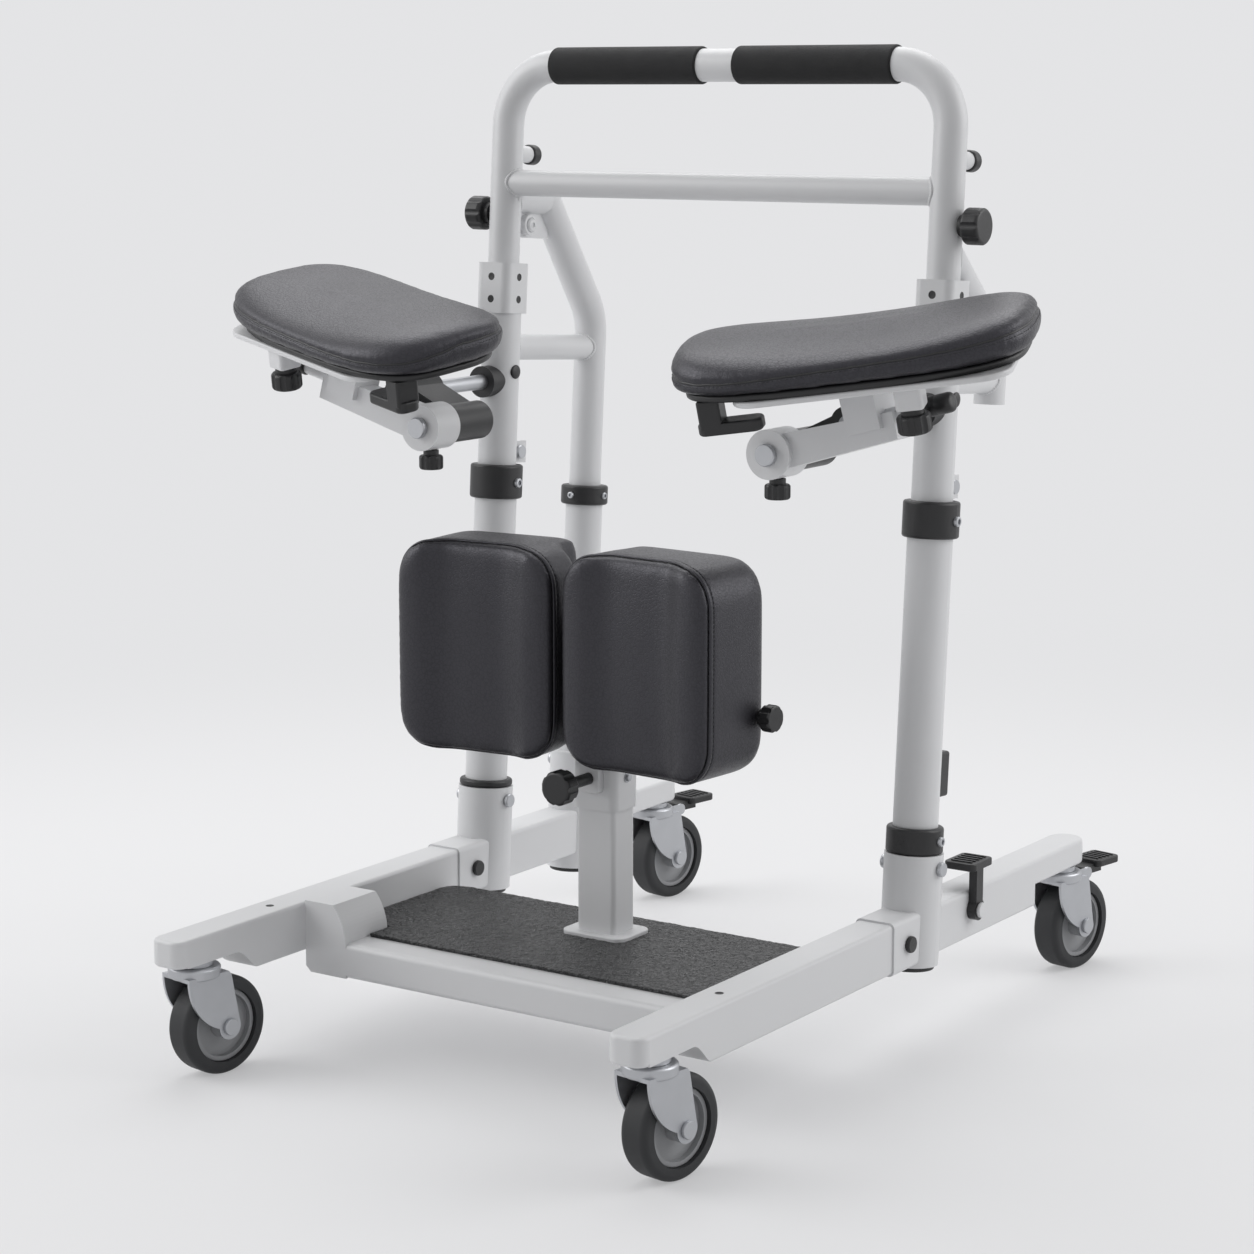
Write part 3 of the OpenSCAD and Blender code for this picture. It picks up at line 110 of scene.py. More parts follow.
SIDES = ("left_", "right_")
CORNERS = ("fl_", "fr_", "rl_", "rr_")
SIDE_PAINTED = ("side_frame", "brace", "arm", "tray")
SIDE_MOULDED = ("pad_lever", "handle_knob", "lock_knob", "tray_knob", "knee_knob")
PAINTED = (
    "front_noses", "footplate", "knee_post", "lower_tubes", "upper_tubes", "tube_sleeves", "handle_bar",
    "crossbar", "knee_sleeve", "knee_bracket", *(side + name for side in SIDES for name in SIDE_PAINTED),
)
PLATED = (
    "frame_bolts", "column_bolts", "support_rods", "caster_stems", *(corner + "fork" for corner in CORNERS),
)
MOULDED = (
    "clamp_collars", "socket_caps", "latch_pedal", "stub_caps", "bushes", "pivot_blocks", "plunger",
    "rl_brake_pedal", "rr_brake_pedal", "buffer_block",
    *(side + name for side in SIDES for name in SIDE_MOULDED),
)
WHEELS = tuple(corner + "wheel" for corner in CORNERS)
TYRES = tuple(corner + "tyre" for corner in CORNERS)
PADS = tuple(side + name for side in SIDES for name in ("arm_pad", "knee_pad"))


# Settings


def colour(name, text, default):
    return bpy.props.FloatVectorProperty(
        name=name, description=text, default=default, subtype="COLOR", min=0, max=1)


def length(name, text, default):
    return bpy.props.FloatProperty(
        name=name, description=text, default=default, min=0, unit="LENGTH", precision=4)


def number(name, text, default):
    return bpy.props.FloatProperty(name=name, description=text, default=default, min=0)


def angle(name, text, degrees):
    return bpy.props.FloatProperty(
        name=name, description=text, default=math.radians(degrees), subtype="ANGLE")


class FinishSettings(bpy.types.PropertyGroup):
    """Colours of the finishes."""

    paint: colour("Paint", "Satin powder coat of the frame", (0.66, 0.664, 0.676))
    zinc: colour("Zinc", "Plated forks and bolts", (0.47, 0.48, 0.50))
    moulded: colour("Moulded black", "Knobs, collars, caps and pedals", (0.012, 0.012, 0.013))
    foam: colour("Foam", "Hand grip sleeves", (0.013, 0.013, 0.014))
    hide: colour("Hide", "Cover of the cushions", (0.021, 0.0205, 0.024))
    thread: colour("Thread", "Stitches of the cushions", (0.034, 0.034, 0.038))
    mat: colour("Mat", "Pebbled rubber underfoot", (0.021, 0.0215, 0.023))
    wheel: colour("Wheel", "Wheel discs", (0.30, 0.305, 0.316))
    tyre: colour("Tyre", "Wheel tyres", (0.028, 0.029, 0.031))


class CushionSettings(bpy.types.PropertyGroup):
    """Sizes of the cushions' sewing."""

    voxel: length("Mesh size", "Size of the cushion mesh before it is smoothed", 0.005)
    swell: length("Swell", "Most that a cover may stand out of its cut shape", 0.005)
    pressure: number("Pressure", "Pressure of the filling", 4.0)
    groove: length("Groove", "Depth of the groove along a seam", 0.0022)
    groove_w: length("Groove width", "Half width of the groove along a seam", 0.0035)
    pucker: length("Pucker", "Height of the small folds beside a seam", 0.00016)
    pucker_l: length("Pucker length", "Length of the small folds beside a seam", 0.011)
    welt_w: length("Welt width", "Half width of the raised welt of a knee pad", 0.0026)
    welt_h: length("Welt height", "Half height of the raised welt of a knee pad", 0.0012)
    # Painted shade: the dark band in a closed seam of an arm pad stands in for the shade there.
    crease: length("Crease radius", "Radius of the dark line of a closed seam", 0.0007)
    stitch_pitch: length("Stitch pitch", "Distance between stitches", 0.0046)
    stitch_l: length("Stitch length", "Length of a stitch", 0.0034)
    stitch_r: length("Stitch radius", "Radius of the thread", 0.00042)


class MatSettings(bpy.types.PropertyGroup):
    """Sizes of the foot mat's surface."""

    voxel: length("Mesh size", "Size of the mat's mesh", 0.0017)
    pebble: length("Pebble size", "Distance between the pebbles", 0.0064)
    height: length("Pebble height", "Height of the pebbles", 0.0008)


class WeldSettings(bpy.types.PropertyGroup):
    """Sizes of the weld beads."""

    pitch: length("Ripple pitch", "Distance between the ripples of a weld", 0.0026)
    ripple: length("Ripple length", "Length of a ripple", 0.0052)
    radius: length("Bead radius", "Radius of a weld bead", 0.0021)


class StageSettings(bpy.types.PropertyGroup):
    """Camera, floor and light."""

    camera: bpy.props.FloatVectorProperty(
        name="Camera", description="Place of the camera", default=(1.6972, -2.5723, 0.9594),
        subtype="TRANSLATION", unit="LENGTH")
    yaw: angle("Yaw", "Turn of the camera about the upright axis", 34.14)
    pitch: angle("Pitch", "Downward tilt of the camera", 10.02)
    lens: number("Lens", "Focal length in millimetres on a 36 mm sensor", 87.09)
    backdrop: colour("Backdrop", "Colour behind the object", (0.775, 0.777, 0.79))
    floor: colour("Floor", "Colour of the floor", (0.80, 0.80, 0.81))
    shade: number("Shade", "Share of the floor that takes light and shadow", 0.55)
    key: number("Key light", "Power of the large light on the left, in watts", 54.0)
    fill: number("Fill light", "Power of the large light on the right, in watts", 46.0)
    top: number("Top light", "Power of the light above and behind, in watts", 50.0)
    sky: number("Sky", "Strength of the even light all round", 0.40)


class AidSettings(bpy.types.PropertyGroup):
    """All settings of the standing aid."""

    finish: bpy.props.PointerProperty(type=FinishSettings)
    cushion: bpy.props.PointerProperty(type=CushionSettings)
    mat: bpy.props.PointerProperty(type=MatSettings)
    weld: bpy.props.PointerProperty(type=WeldSettings)
    stage: bpy.props.PointerProperty(type=StageSettings)


def settings():
    return bpy.context.scene.standing_aid


# Node trees


SOCKET_KINDS = {"VALUE": "NodeSocketFloat", "RGBA": "NodeSocketColor", "GEOMETRY": "NodeSocketGeometry"}


class Wires:
    """Adds nodes to a tree and joins them."""

    def __init__(self, tree):
        self.tree = tree

    def add(self, kind, sockets=None, **choices):
        node = self.tree.nodes.new(kind)
        for key, value in choices.items():
            setattr(node, key, value)
        for key, value in (sockets or {}).items():
            self.put(node.inputs[key], value)
        return node

    def put(self, socket, value):
        if isinstance(value, bpy.types.NodeSocket):
            self.tree.links.new(value, socket)
        else:
            socket.default_value = value

    def math(self, kind, a, b=0.0, c=0.0):
        return self.add("ShaderNodeMath", {0: a, 1: b, 2: c}, operation=kind).outputs[0]

    def spread(self, value, low, high, to_low=0.0, to_high=1.0):
        return self.add(
            "ShaderNodeMapRange",
            {"Value": value, "From Min": low, "From Max": high, "To Min": to_low, "To Max": to_high},
            interpolation_type="SMOOTHSTEP").outputs[0]

    def mix(self, share, first, second):
        """A colour between two colours."""
        return self.add("ShaderNodeMix", {0: share, 6: first, 7: second}, data_type="RGBA").outputs[2]

    def cloud(self, where, scale, detail):
        return self.add("ShaderNodeTexNoise", {"Vector": where, "Scale": scale, "Detail": detail}).outputs

    def cells(self, where, scale):
        """Distance from the edges of irregular cells."""
        return self.add(
            "ShaderNodeTexVoronoi", {"Vector": where, "Scale": scale},
            feature="DISTANCE_TO_EDGE").outputs["Distance"]

    def relief(self, height, plates=None):
        """The outputs of a pattern: its height, and its creases where the plates are low."""
        return {"Height": height, "Crease": self.math("SUBTRACT", 1.0, plates or height)}


def bare_wires(owner):
    """Wires for the emptied node tree of a material or world."""
    owner.use_nodes = True
    owner.node_tree.nodes.clear()
    return Wires(owner.node_tree)


def node_group(name, kind, inputs, fill):
    """A node group, made once: fill(wires, inputs) gives the socket of each output."""
    tree = bpy.data.node_groups.get(name)
    if tree:
        return tree
    tree = bpy.data.node_groups.new(name, kind)
    for label, socket in inputs:
        tree.interface.new_socket(label, in_out="INPUT", socket_type="NodeSocket" + socket)
    wires = Wires(tree)
    results = fill(wires, wires.add("NodeGroupInput").outputs)
    for label, socket in results.items():
        tree.interface.new_socket(label, in_out="OUTPUT", socket_type=SOCKET_KINDS[socket.type])
    wires.add("NodeGroupOutput", results)
    return tree


def shader_group(*inputs):
    """Makes fill(wires, inputs) a function that gives a shader node group of its name."""
    sockets = [("Vector", "Vector"), ("Scale", "Float"), *((label, "Float") for label in inputs)]

    def named(fill):
        return lambda: node_group(fill.__name__, "ShaderNodeTree", sockets, fill)

    return named


@shader_group("Base", "Amount", "Detail")
def surface_drift(w, ends):
    """A value that changes slowly over the surface, as in handled and wiped patches."""
    away = w.math("SUBTRACT", w.cloud(ends["Vector"], ends["Scale"], ends["Detail"])[0], 0.5)
    return {"Value": w.math("MULTIPLY_ADD", away, ends["Amount"], ends["Base"])}


@shader_group()
def fine_grain(w, ends):
    """Fine even grain: orange peel on paint, spark texture on mouldings, pores on foam."""
    return w.relief(w.spread(w.cloud(ends["Vector"], ends["Scale"], 2.0)[0], 0.3, 0.7))


@shader_group()
def hide_grain(w, ends):
    """Leather or pebble grain: plates between creases, with finer plates inside them."""
    warp = w.cloud(ends["Vector"], 90.0, 2.0)["Color"]
    bent = w.add(
        "ShaderNodeVectorMath", {0: warp, 1: (0.004, 0.004, 0.004), 2: ends["Vector"]},
        operation="MULTIPLY_ADD").outputs[0]
    plates = w.spread(w.cells(bent, ends["Scale"]), 0.0, 0.16)
    specks = w.spread(w.cells(bent, w.math("MULTIPLY", ends["Scale"], 2.3)), 0.0, 0.2)
    height = w.math("MULTIPLY_ADD", specks, 0.35, w.math("MULTIPLY", plates, 0.65))
    return w.relief(height, plates)


@shader_group()
def rub_marks(w, ends):
    """Sparse fine scuffs."""
    wide = w.add("ShaderNodeMapping", {"Vector": ends["Vector"], "Scale": (1.0, 1.0, 0.16)})
    streak = w.cloud(wide.outputs[0], ends["Scale"], 6.0)[0]
    patch = w.cloud(ends["Vector"], 7.0, 1.0)[0]
    return {"Mask": w.math("MULTIPLY", w.spread(streak, 0.60, 0.72), w.spread(patch, 0.48, 0.66))}


@shader_group()
def thread_turns(w, ends):
    """The twist of a thread."""
    wave = w.add(
        "ShaderNodeTexWave", {"Vector": ends["Vector"], "Scale": ends["Scale"], "Distortion": 2.0})
    return w.relief(wave.outputs["Fac"])


def dim(colour, share):
    """A shade of a colour, for a socket."""
    return (*(c * share for c in colour), 1.0)


DUST = (0.10, 0.10, 0.098, 1.0)
TONE_DETAIL = 4.0
ROUGH_DETAIL = 5.0


def finish(name, tint, tone, rough, bump, pattern=fine_grain, deep=None, worn=None, shader=None):
    """A material in the colour of a setting, whose colour and roughness drift and whose bump is a pattern.

    tone is a scale and an amount, rough a base, a scale and an amount.
    bump is a scale, a strength and a distance.
    deep is how strongly the pattern's low parts are darkened with painted shade, how dark that painted shade
    is, and how much rougher they are.
    worn is the scale of the scuffs, how much rougher they are and how much dust they hold.
    """
    made = bpy.data.materials.new(name)
    w = bare_wires(made)
    where = w.add("ShaderNodeTexCoord").outputs["Object"]

    def group(tree, **values):
        return w.add("ShaderNodeGroup", {"Vector": where, **values}, node_tree=tree).outputs

    def drift(base, scale, amount, detail):
        return group(surface_drift(), Base=base, Scale=scale, Amount=amount, Detail=detail)["Value"]

    colour = getattr(settings().finish, tint)
    grain = group(pattern(), Scale=bump[0])
    base = w.add("ShaderNodeHueSaturation", {
        "Color": dim(colour, 1.0), "Value": drift(1.0, *tone, TONE_DETAIL)}).outputs[0]
    roughness = drift(*rough, ROUGH_DETAIL)
    # Painted shade: the pattern's low parts are darkened towards a dimmer copy of the colour.
    if deep:
        base = w.mix(w.math("MULTIPLY", grain["Crease"], deep[0]), base, dim(colour, deep[1]))
        roughness = w.math("MULTIPLY_ADD", grain["Crease"], deep[2], roughness)
    if worn:
        marks = group(rub_marks(), Scale=worn[0])["Mask"]
        base = w.mix(w.math("MULTIPLY", marks, worn[2]), base, DUST)
        roughness = w.math("MULTIPLY_ADD", marks, worn[1], roughness)
    raised = w.add("ShaderNodeBump", {"Height": grain["Height"], "Strength": bump[1], "Distance": bump[2]})
    surface = w.add("ShaderNodeBsdfPrincipled", {
        "Base Color": base, "Roughness": roughness, "Normal": raised.outputs[0], **(shader or {})})
    w.add("ShaderNodeOutputMaterial", {"Surface": surface.outputs[0]})
    return made


# deep darkens the low parts of the foam's pores, the leather grain and the mat's pebbles as painted shade.
FINISHES = {
    "satin_paint": dict(
        tint="paint", tone=(6.0, 0.05), rough=(0.40, 26.0, 0.10), bump=(1100.0, 0.03, 0.0003),
        worn=(160.0, 0.06, 0.0), shader={"Coat Weight": 0.10, "Coat Roughness": 0.25}),
    "zinc_plate": dict(
        tint="zinc", tone=(60.0, 0.12), rough=(0.40, 120.0, 0.14), bump=(1500.0, 0.08, 0.0003),
        worn=(420.0, 0.12, 0.0), shader={"Metallic": 0.9}),
    "moulded_black": dict(
        tint="moulded", tone=(30.0, 0.25), rough=(0.40, 50.0, 0.14), bump=(1400.0, 0.16, 0.0004)),
    "foam_sleeve": dict(
        tint="foam", tone=(40.0, 0.2), rough=(0.74, 60.0, 0.12), bump=(1250.0, 0.55, 0.0006),
        deep=(1.0, 0.45, 0.0),
        shader={"Specular IOR Level": 0.4, "Sheen Weight": 0.04, "Sheen Roughness": 0.35}),
    "upholstery": dict(
        tint="hide", tone=(10.0, 0.16), rough=(0.35, 18.0, 0.08), pattern=hide_grain,
        bump=(240.0, 0.32, 0.00045), deep=(0.55, 0.4, 0.10),
        shader={"Specular Tint": (0.92, 0.91, 1.0, 1.0)}),
    "thread_twist": dict(
        tint="thread", tone=(200.0, 0.3), rough=(0.7, 90.0, 0.1), pattern=thread_turns,
        bump=(700.0, 0.4, 0.0002),
        shader={"Specular IOR Level": 0.3, "Sheen Weight": 0.3, "Sheen Roughness": 0.35}),
    "pebbled_rubber": dict(
        tint="mat", tone=(14.0, 0.3), rough=(0.28, 90.0, 0.12), pattern=hide_grain,
        bump=(135.0, 1.0, 0.0022), deep=(1.0, 0.3, 0.0)),
    "wheel_grey": dict(
        tint="wheel", tone=(24.0, 0.08), rough=(0.42, 70.0, 0.10), bump=(1500.0, 0.06, 0.0003)),
    "tyre_rubber": dict(
        tint="tyre", tone=(40.0, 0.25), rough=(0.62, 80.0, 0.16), bump=(900.0, 0.18, 0.0004),
        worn=(240.0, 0.0, 0.35), shader={"Specular IOR Level": 0.4}),
}


def material(name):
    """The named finish, made when it is first asked for."""
    return bpy.data.materials.get(name) or finish(name, **FINISHES[name])


# Meshes


def new_object(name, data):
    piece = bpy.data.objects.new(name, data)
    bpy.context.scene.collection.objects.link(piece)
    return piece


def built(name, points, faces, edges=()):
    """A piece with the given points and faces."""
    mesh = bpy.data.meshes.new(name)
    mesh.from_pydata([tuple(p) for p in points], edges, faces)
    mesh.validate()
    return new_object(name, mesh)


def coords(mesh):
    flat = np.empty(len(mesh.vertices) * 3)
    mesh.vertices.foreach_get("co", flat)
    return flat.reshape(-1, 3)


def put_coords(mesh, points):
    mesh.vertices.foreach_set("co", np.asarray(points, np.float32).ravel())
    mesh.update()


def normals(mesh):
    flat = np.empty(len(mesh.vertices) * 3, np.float32)
    mesh.vertex_normals.foreach_get("vector", flat)
    return flat.reshape(-1, 3).astype(float)


def evaluated_mesh(piece):
    """A plain mesh of the piece with its modifiers applied."""
    bpy.context.view_layer.update()
    graph = bpy.context.evaluated_depsgraph_get()
    return bpy.data.meshes.new_from_object(piece.evaluated_get(graph))


def apply_modifiers(piece):
    mesh = evaluated_mesh(piece)
    piece.modifiers.clear()
    piece.data = mesh
    return piece


def remeshed(piece, size):
    """Gives a piece an even mesh, after the modifiers that it has."""
    even = piece.modifiers.new("even", "REMESH")
    even.mode = "VOXEL"
    even.voxel_size = size
    return apply_modifiers(piece)


def smooth(mesh):
    mesh.polygons.foreach_set("use_smooth", [True] * len(mesh.polygons))


def dress(piece, finish, body, edge=None):
    """Gives a piece its finish and body; edge is the angle in degrees from which its edges stay sharp."""
    piece.data.materials.clear()
    piece.data.materials.append(material(finish))
    smooth(piece.data)
    if edge:
        piece.data.set_sharp_from_angle(angle=math.radians(edge))
    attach(piece, body)
    return piece


def mirrored(mesh, name):
    """The mesh mirrored across the middle plane, with its faces turned outward again."""
    copy = mesh.copy()
    copy.name = name
    copy.transform(Matrix.Scale(-1, 4, (1, 0, 0)))
    copy.flip_normals()
    copy.update()
    return copy


def skin(count, n, closed=False):
    """Faces between a number of rings with n points each."""
    faces = []
    for k in range(count if closed else count - 1):
        near, far = k * n, (k + 1) % count * n
        for i in range(n):
            j = (i + 1) % n
            faces.append((near + i, near + j, far + j, far + i))
    return faces


def loft(rings):
    """Points and faces of a closed form through rings of equal length, with a point at each end."""
    n = len(rings[0])
    points = [p for ring in rings for p in ring]
    faces = skin(len(rings), n)
    first, last = len(points), len(points) + 1
    points.append(np.mean(rings[0], axis=0))
    points.append(np.mean(rings[-1], axis=0))
    top = (len(rings) - 1) * n
    for i in range(n):
        j = (i + 1) % n
        faces.append((first, j, i))
        faces.append((last, top + i, top + j))
    return points, faces


def band_along(path, out, half_w, half_h, sides=10):
    """Points and faces of a closed flat band along a closed path on a surface with normals out."""
    path = np.asarray(path)
    ahead = np.roll(path, -1, axis=0) - np.roll(path, 1, axis=0)
    ahead /= np.linalg.norm(ahead, axis=1)[:, None]
    aside = np.cross(out, ahead)
    aside /= np.linalg.norm(aside, axis=1)[:, None]
    up = np.cross(ahead, aside)
    turn = [2 * math.pi * k / sides for k in range(sides)]
    points = np.concatenate([
        [path[i] + half_w * math.cos(a) * aside[i] + half_h * math.sin(a) * up[i] for a in turn]
        for i in range(len(path))])
    return points, skin(len(path), sides, closed=True)


def lathe(profile, steps=24):
    """Points and faces of a closed turned form: pairs of radius and height, a third value makes a hexagon."""
    rings = []
    for radius, height, *hexed in profile:
        ring = []
        for k in range(steps):
            a = 2 * math.pi * k / steps
            r = radius
            if hexed:
                r *= math.cos(math.pi / 6) / math.cos((a + math.pi / 6) % (math.pi / 3) - math.pi / 6)
            ring.append((r * math.cos(a), r * math.sin(a), height))
        rings.append(np.array(ring))
    return loft(rings)


def leaned(x, y, height):
    """A point of the leaning columns' frame, in metres."""
    a = math.radians(LEAN)
    return np.array((
        x, COLUMN_Y + y * math.cos(a) + height * math.sin(a), height * math.cos(a) - y * math.sin(a))) * MM


def lean_way(x, y, z):
    """A direction of the leaning columns' frame."""
    return leaned(x, y, z) - leaned(0, 0, 0)


def evenly(path, step):
    """Points at an even step along a closed path."""
    path = np.asarray(path)
    closed = np.vstack([path, path[:1]])
    gaps = np.linalg.norm(np.diff(closed, axis=0), axis=1)
    along = np.concatenate([[0], np.cumsum(gaps)])
    count = max(8, int(round(along[-1] / step)))
    wanted = np.arange(count) * along[-1] / count
    return np.stack([np.interp(wanted, along, closed[:, k]) for k in range(3)], axis=1)


def softened(path, rounds):
    """A closed path with its small kinks taken out."""
    path = np.asarray(path)
    for _ in range(rounds):
        path = 0.5 * path + 0.25 * (np.roll(path, 1, axis=0) + np.roll(path, -1, axis=0))
    return path


# Repeats, made with Geometry Nodes


def repeat_tree(**inputs):
    """Makes lay_out(wires, inputs), giving points, shape, turn and size, a function that gives a tree."""
    sockets = [("Geometry", "Geometry"), *inputs.items(), ("Finish", "Material")]

    def named(lay_out):
        def fill(w, ends):
            points, shape, turn, size = lay_out(w, ends)
            rows = w.add("GeometryNodeInstanceOnPoints", {
                "Points": points, "Instance": shape, "Rotation": turn, "Scale": size})
            whole = w.add("GeometryNodeRealizeInstances", {"Geometry": rows.outputs[0]})
            shown = w.add("GeometryNodeSetMaterial", {
                "Geometry": whole.outputs[0], "Material": ends["Finish"]})
            return {"Geometry": shown.outputs[0]}

        return lambda: node_group(lay_out.__name__, "GeometryNodeTree", sockets, fill)

    return named


@repeat_tree(Pitch="Float", Length="Float", Radius="Float")
def beads_along_path(w, ends):
    """Small rounded beads at an even pitch along the edges of a mesh."""
    line = w.add("GeometryNodeMeshToCurve", {"Mesh": ends["Geometry"]})
    spots = w.add(
        "GeometryNodeCurveToPoints", {"Curve": line.outputs[0], "Length": ends["Pitch"]},
        mode="LENGTH").outputs
    ball = w.add("GeometryNodeMeshUVSphere", {"Segments": 8, "Rings": 5, "Radius": 1.0})
    half = w.math("MULTIPLY", ends["Length"], 0.5)
    size = w.add("ShaderNodeCombineXYZ", {"X": ends["Radius"], "Y": ends["Radius"], "Z": half})
    return spots["Points"], ball.outputs["Mesh"], spots["Rotation"], size.outputs[0]


@repeat_tree(Shape="Object")
def heads_on_points(w, ends):
    """The given shape on each point, turned along the point's aim and as large as its span."""
    spots = w.add("GeometryNodeMeshToPoints", {"Mesh": ends["Geometry"]})
    shape = w.add("GeometryNodeObjectInfo", {"Object": ends["Shape"]}, transform_space="ORIGINAL")
    aim = w.add("GeometryNodeInputNamedAttribute", {"Name": "aim"}, data_type="FLOAT_VECTOR")
    span = w.add("GeometryNodeInputNamedAttribute", {"Name": "span"}, data_type="FLOAT")
    turn = w.add("FunctionNodeAlignRotationToVector", {"Vector": aim.outputs[0]}, axis="Z")
    return spots.outputs[0], shape.outputs["Geometry"], turn.outputs[0], span.outputs[0]


def grow(piece, tree, values):
    """Runs a node tree on the piece with the named input values and keeps the plain mesh."""
    tree.is_modifier = True
    step = piece.modifiers.new("grow", "NODES")
    step.node_group = tree
    for item in tree.interface.items_tree:
        if item.item_type == "SOCKET" and item.in_out == "INPUT" and item.name in values:
            step[item.identifier] = values[item.name]
    return apply_modifiers(piece)


def beads(name, paths, pitch, size, radius, finish, body, closed=True):
    """Beads along paths as one piece on a body."""
    points, edges = [], []
    for path in paths:
        start = len(points)
        points.extend(path)
        count = len(path)
        edges.extend((start + i, start + (i + 1) % count) for i in range(count if closed else count - 1))
    piece = built(name, points, [], edges)
    values = {"Pitch": pitch, "Length": size, "Radius": radius, "Finish": material(finish)}
    grow(piece, beads_along_path(), values)
    return dress(piece, finish, body)


def heads(name, profile, spots, finish, body, edge=30):
    """A turned head at each spot: (place, aim, radius in millimetres), as one piece on a body."""
    shape = built("head_shape", *lathe(profile))
    piece = built(name, [place for place, _, _ in spots], [])
    aim = piece.data.attributes.new("aim", "FLOAT_VECTOR", "POINT")
    aim.data.foreach_set("vector", np.array([way for _, way, _ in spots], np.float32).ravel())
    span = piece.data.attributes.new("span", "FLOAT", "POINT")
    span.data.foreach_set("value", np.array([r * MM for _, _, r in spots], np.float32))
    grow(piece, heads_on_points(), {"Shape": shape, "Finish": material(finish)})
    bpy.data.objects.remove(shape)
    return dress(piece, finish, body, edge)


# Cushions


def arm_frame():
    """Place of the right arm pad: length, depth and thickness run along its X, Y and Z."""
    turn = Euler([math.radians(a) for a in PAD_TURN], "XYZ").to_matrix().to_4x4()
    return Matrix.Translation(Vector(PAD_PLACE) * MM) @ turn


def knee_frame():
    """Place of the right knee pad: width, height and depth run along its X, Y and Z."""
    axes = Matrix(((1, 0, 0, 0), (0, 0, -1, 0), (0, 1, 0, 0), (0, 0, 0, 1)))
    edge = Matrix.Translation(Vector((KNEE_LEFT, KNEE_FRONT, KNEE_FOOT)) * MM)
    toe = Matrix.Rotation(math.radians(-KNEE_TOE), 4, "Z")
    centre = Vector((KNEE_PAD[0] / 2, KNEE_PAD[2], KNEE_PAD[1] / 2)) * MM
    return edge @ toe @ Matrix.Translation(centre) @ axes


def placed(matrix, points):
    m = np.array(matrix)
    return np.asarray(points) @ m[:3, :3].T + m[:3, 3]


def step_up(x, low, high):
    t = np.clip((np.asarray(x, float) - low) / (high - low), 0, 1)
    return t * t * (3 - 2 * t)


def oval(l, d, power, inset, steps):
    """Outline of an arm pad: a squared oval, made smaller by the inset."""
    a = np.arange(steps) * 2 * math.pi / steps
    c, s = np.cos(a), np.sin(a)
    x = np.sign(c) * np.abs(c) ** (2 / power) * (l / 2 - inset)
    y = np.sign(s) * np.abs(s) ** (2 / power) * (d / 2 - inset)
    return np.stack([x, y], axis=1)


def soft_square(w, h, r, inset, corner=10, side=12):
    """Outline of a knee pad: a rectangle with round corners, made smaller by the inset."""
    hw, hh = w / 2 - inset, h / 2 - inset
    r = min(max(r - inset, 5), hw, hh)
    arcs = []
    for k, (x, y) in enumerate(((1, -1), (1, 1), (-1, 1), (-1, -1))):
        a = np.radians(90 * (k - 1 + np.arange(corner + 1) / corner))
        arcs.append(np.column_stack([x * (hw - r) + r * np.cos(a), y * (hh - r) + r * np.sin(a)]))
    share = np.arange(1, side)[:, None] / side
    runs = [arc[-1] + share * (after[0] - arc[-1]) for arc, after in zip(arcs, arcs[1:] + arcs[:1])]
    return np.concatenate([line for both in zip(arcs, runs) for line in both])


# Sewing: the cover is held within SEW_NEAR of a seam and free from SEW_FAR on
SEAM_STEP = 0.002
SEW_NEAR = 0.003
SEW_FAR = 0.010
PUCKER_REACH = 0.006
PUCKER_BEAT = 3.7
STITCH_OUT = 0.3
SIM_FRAMES = 20
EVEN_ROUNDS = 60
EASE_ROUNDS = 14
CLOTH = {
    "quality": 6, "mass": 0.3, "tension_stiffness": 25, "compression_stiffness": 25,
    "shear_stiffness": 10, "bending_stiffness": 1.2, "use_pressure": True,
    "vertex_group_mass": "sewn", "pin_stiffness": 1,
}


def evened(mesh, move, rounds):
    """The moves of a cover's points, each evened out with its neighbours' moves."""
    ends = np.empty(len(mesh.edges) * 2, np.int32)
    mesh.edges.foreach_get("vertices", ends)
    a, b = ends[0::2], ends[1::2]
    count = np.bincount(ends, minlength=len(move))[:, None]
    for _ in range(rounds):
        total = np.zeros_like(move)
        np.add.at(total, a, move[b])
        np.add.at(total, b, move[a])
        move = 0.5 * move + 0.5 * total / np.maximum(count, 1)
    return move


def finder(points):
    """A tree that finds the nearest of the points."""
    tree = KDTree(len(points))
    for i, p in enumerate(points):
        tree.insert(p, i)
    tree.balance()
    return tree


def blown(piece, held):
    """How far each point of a cover moves when it is filled and what is sewn is held."""
    c = settings().cushion
    rest = coords(piece.data)
    group = piece.vertex_groups.new(name="sewn")
    for i, weight in enumerate(held):
        group.add([i], float(weight), "REPLACE")
    cloth = piece.modifiers.new("fill", "CLOTH")
    for key, value in CLOTH.items():
        setattr(cloth.settings, key, value)
    cloth.settings.uniform_pressure_force = c.pressure
    cloth.settings.effector_weights.gravity = 0
    cloth.point_cache.frame_start = 1
    cloth.point_cache.frame_end = SIM_FRAMES
    scene = bpy.context.scene
    for step in range(1, SIM_FRAMES + 1):
        scene.frame_set(step)
    full = evaluated_mesh(piece)
    move = coords(full) - rest
    scene.frame_set(1)
    piece.modifiers.clear()
    piece.vertex_groups.clear()
    bpy.data.meshes.remove(full)
    size = np.linalg.norm(move, axis=1)
    move *= np.minimum(1, c.swell / np.maximum(size, 1e-9))[:, None]
    return evened(piece.data, move, EVEN_ROUNDS)


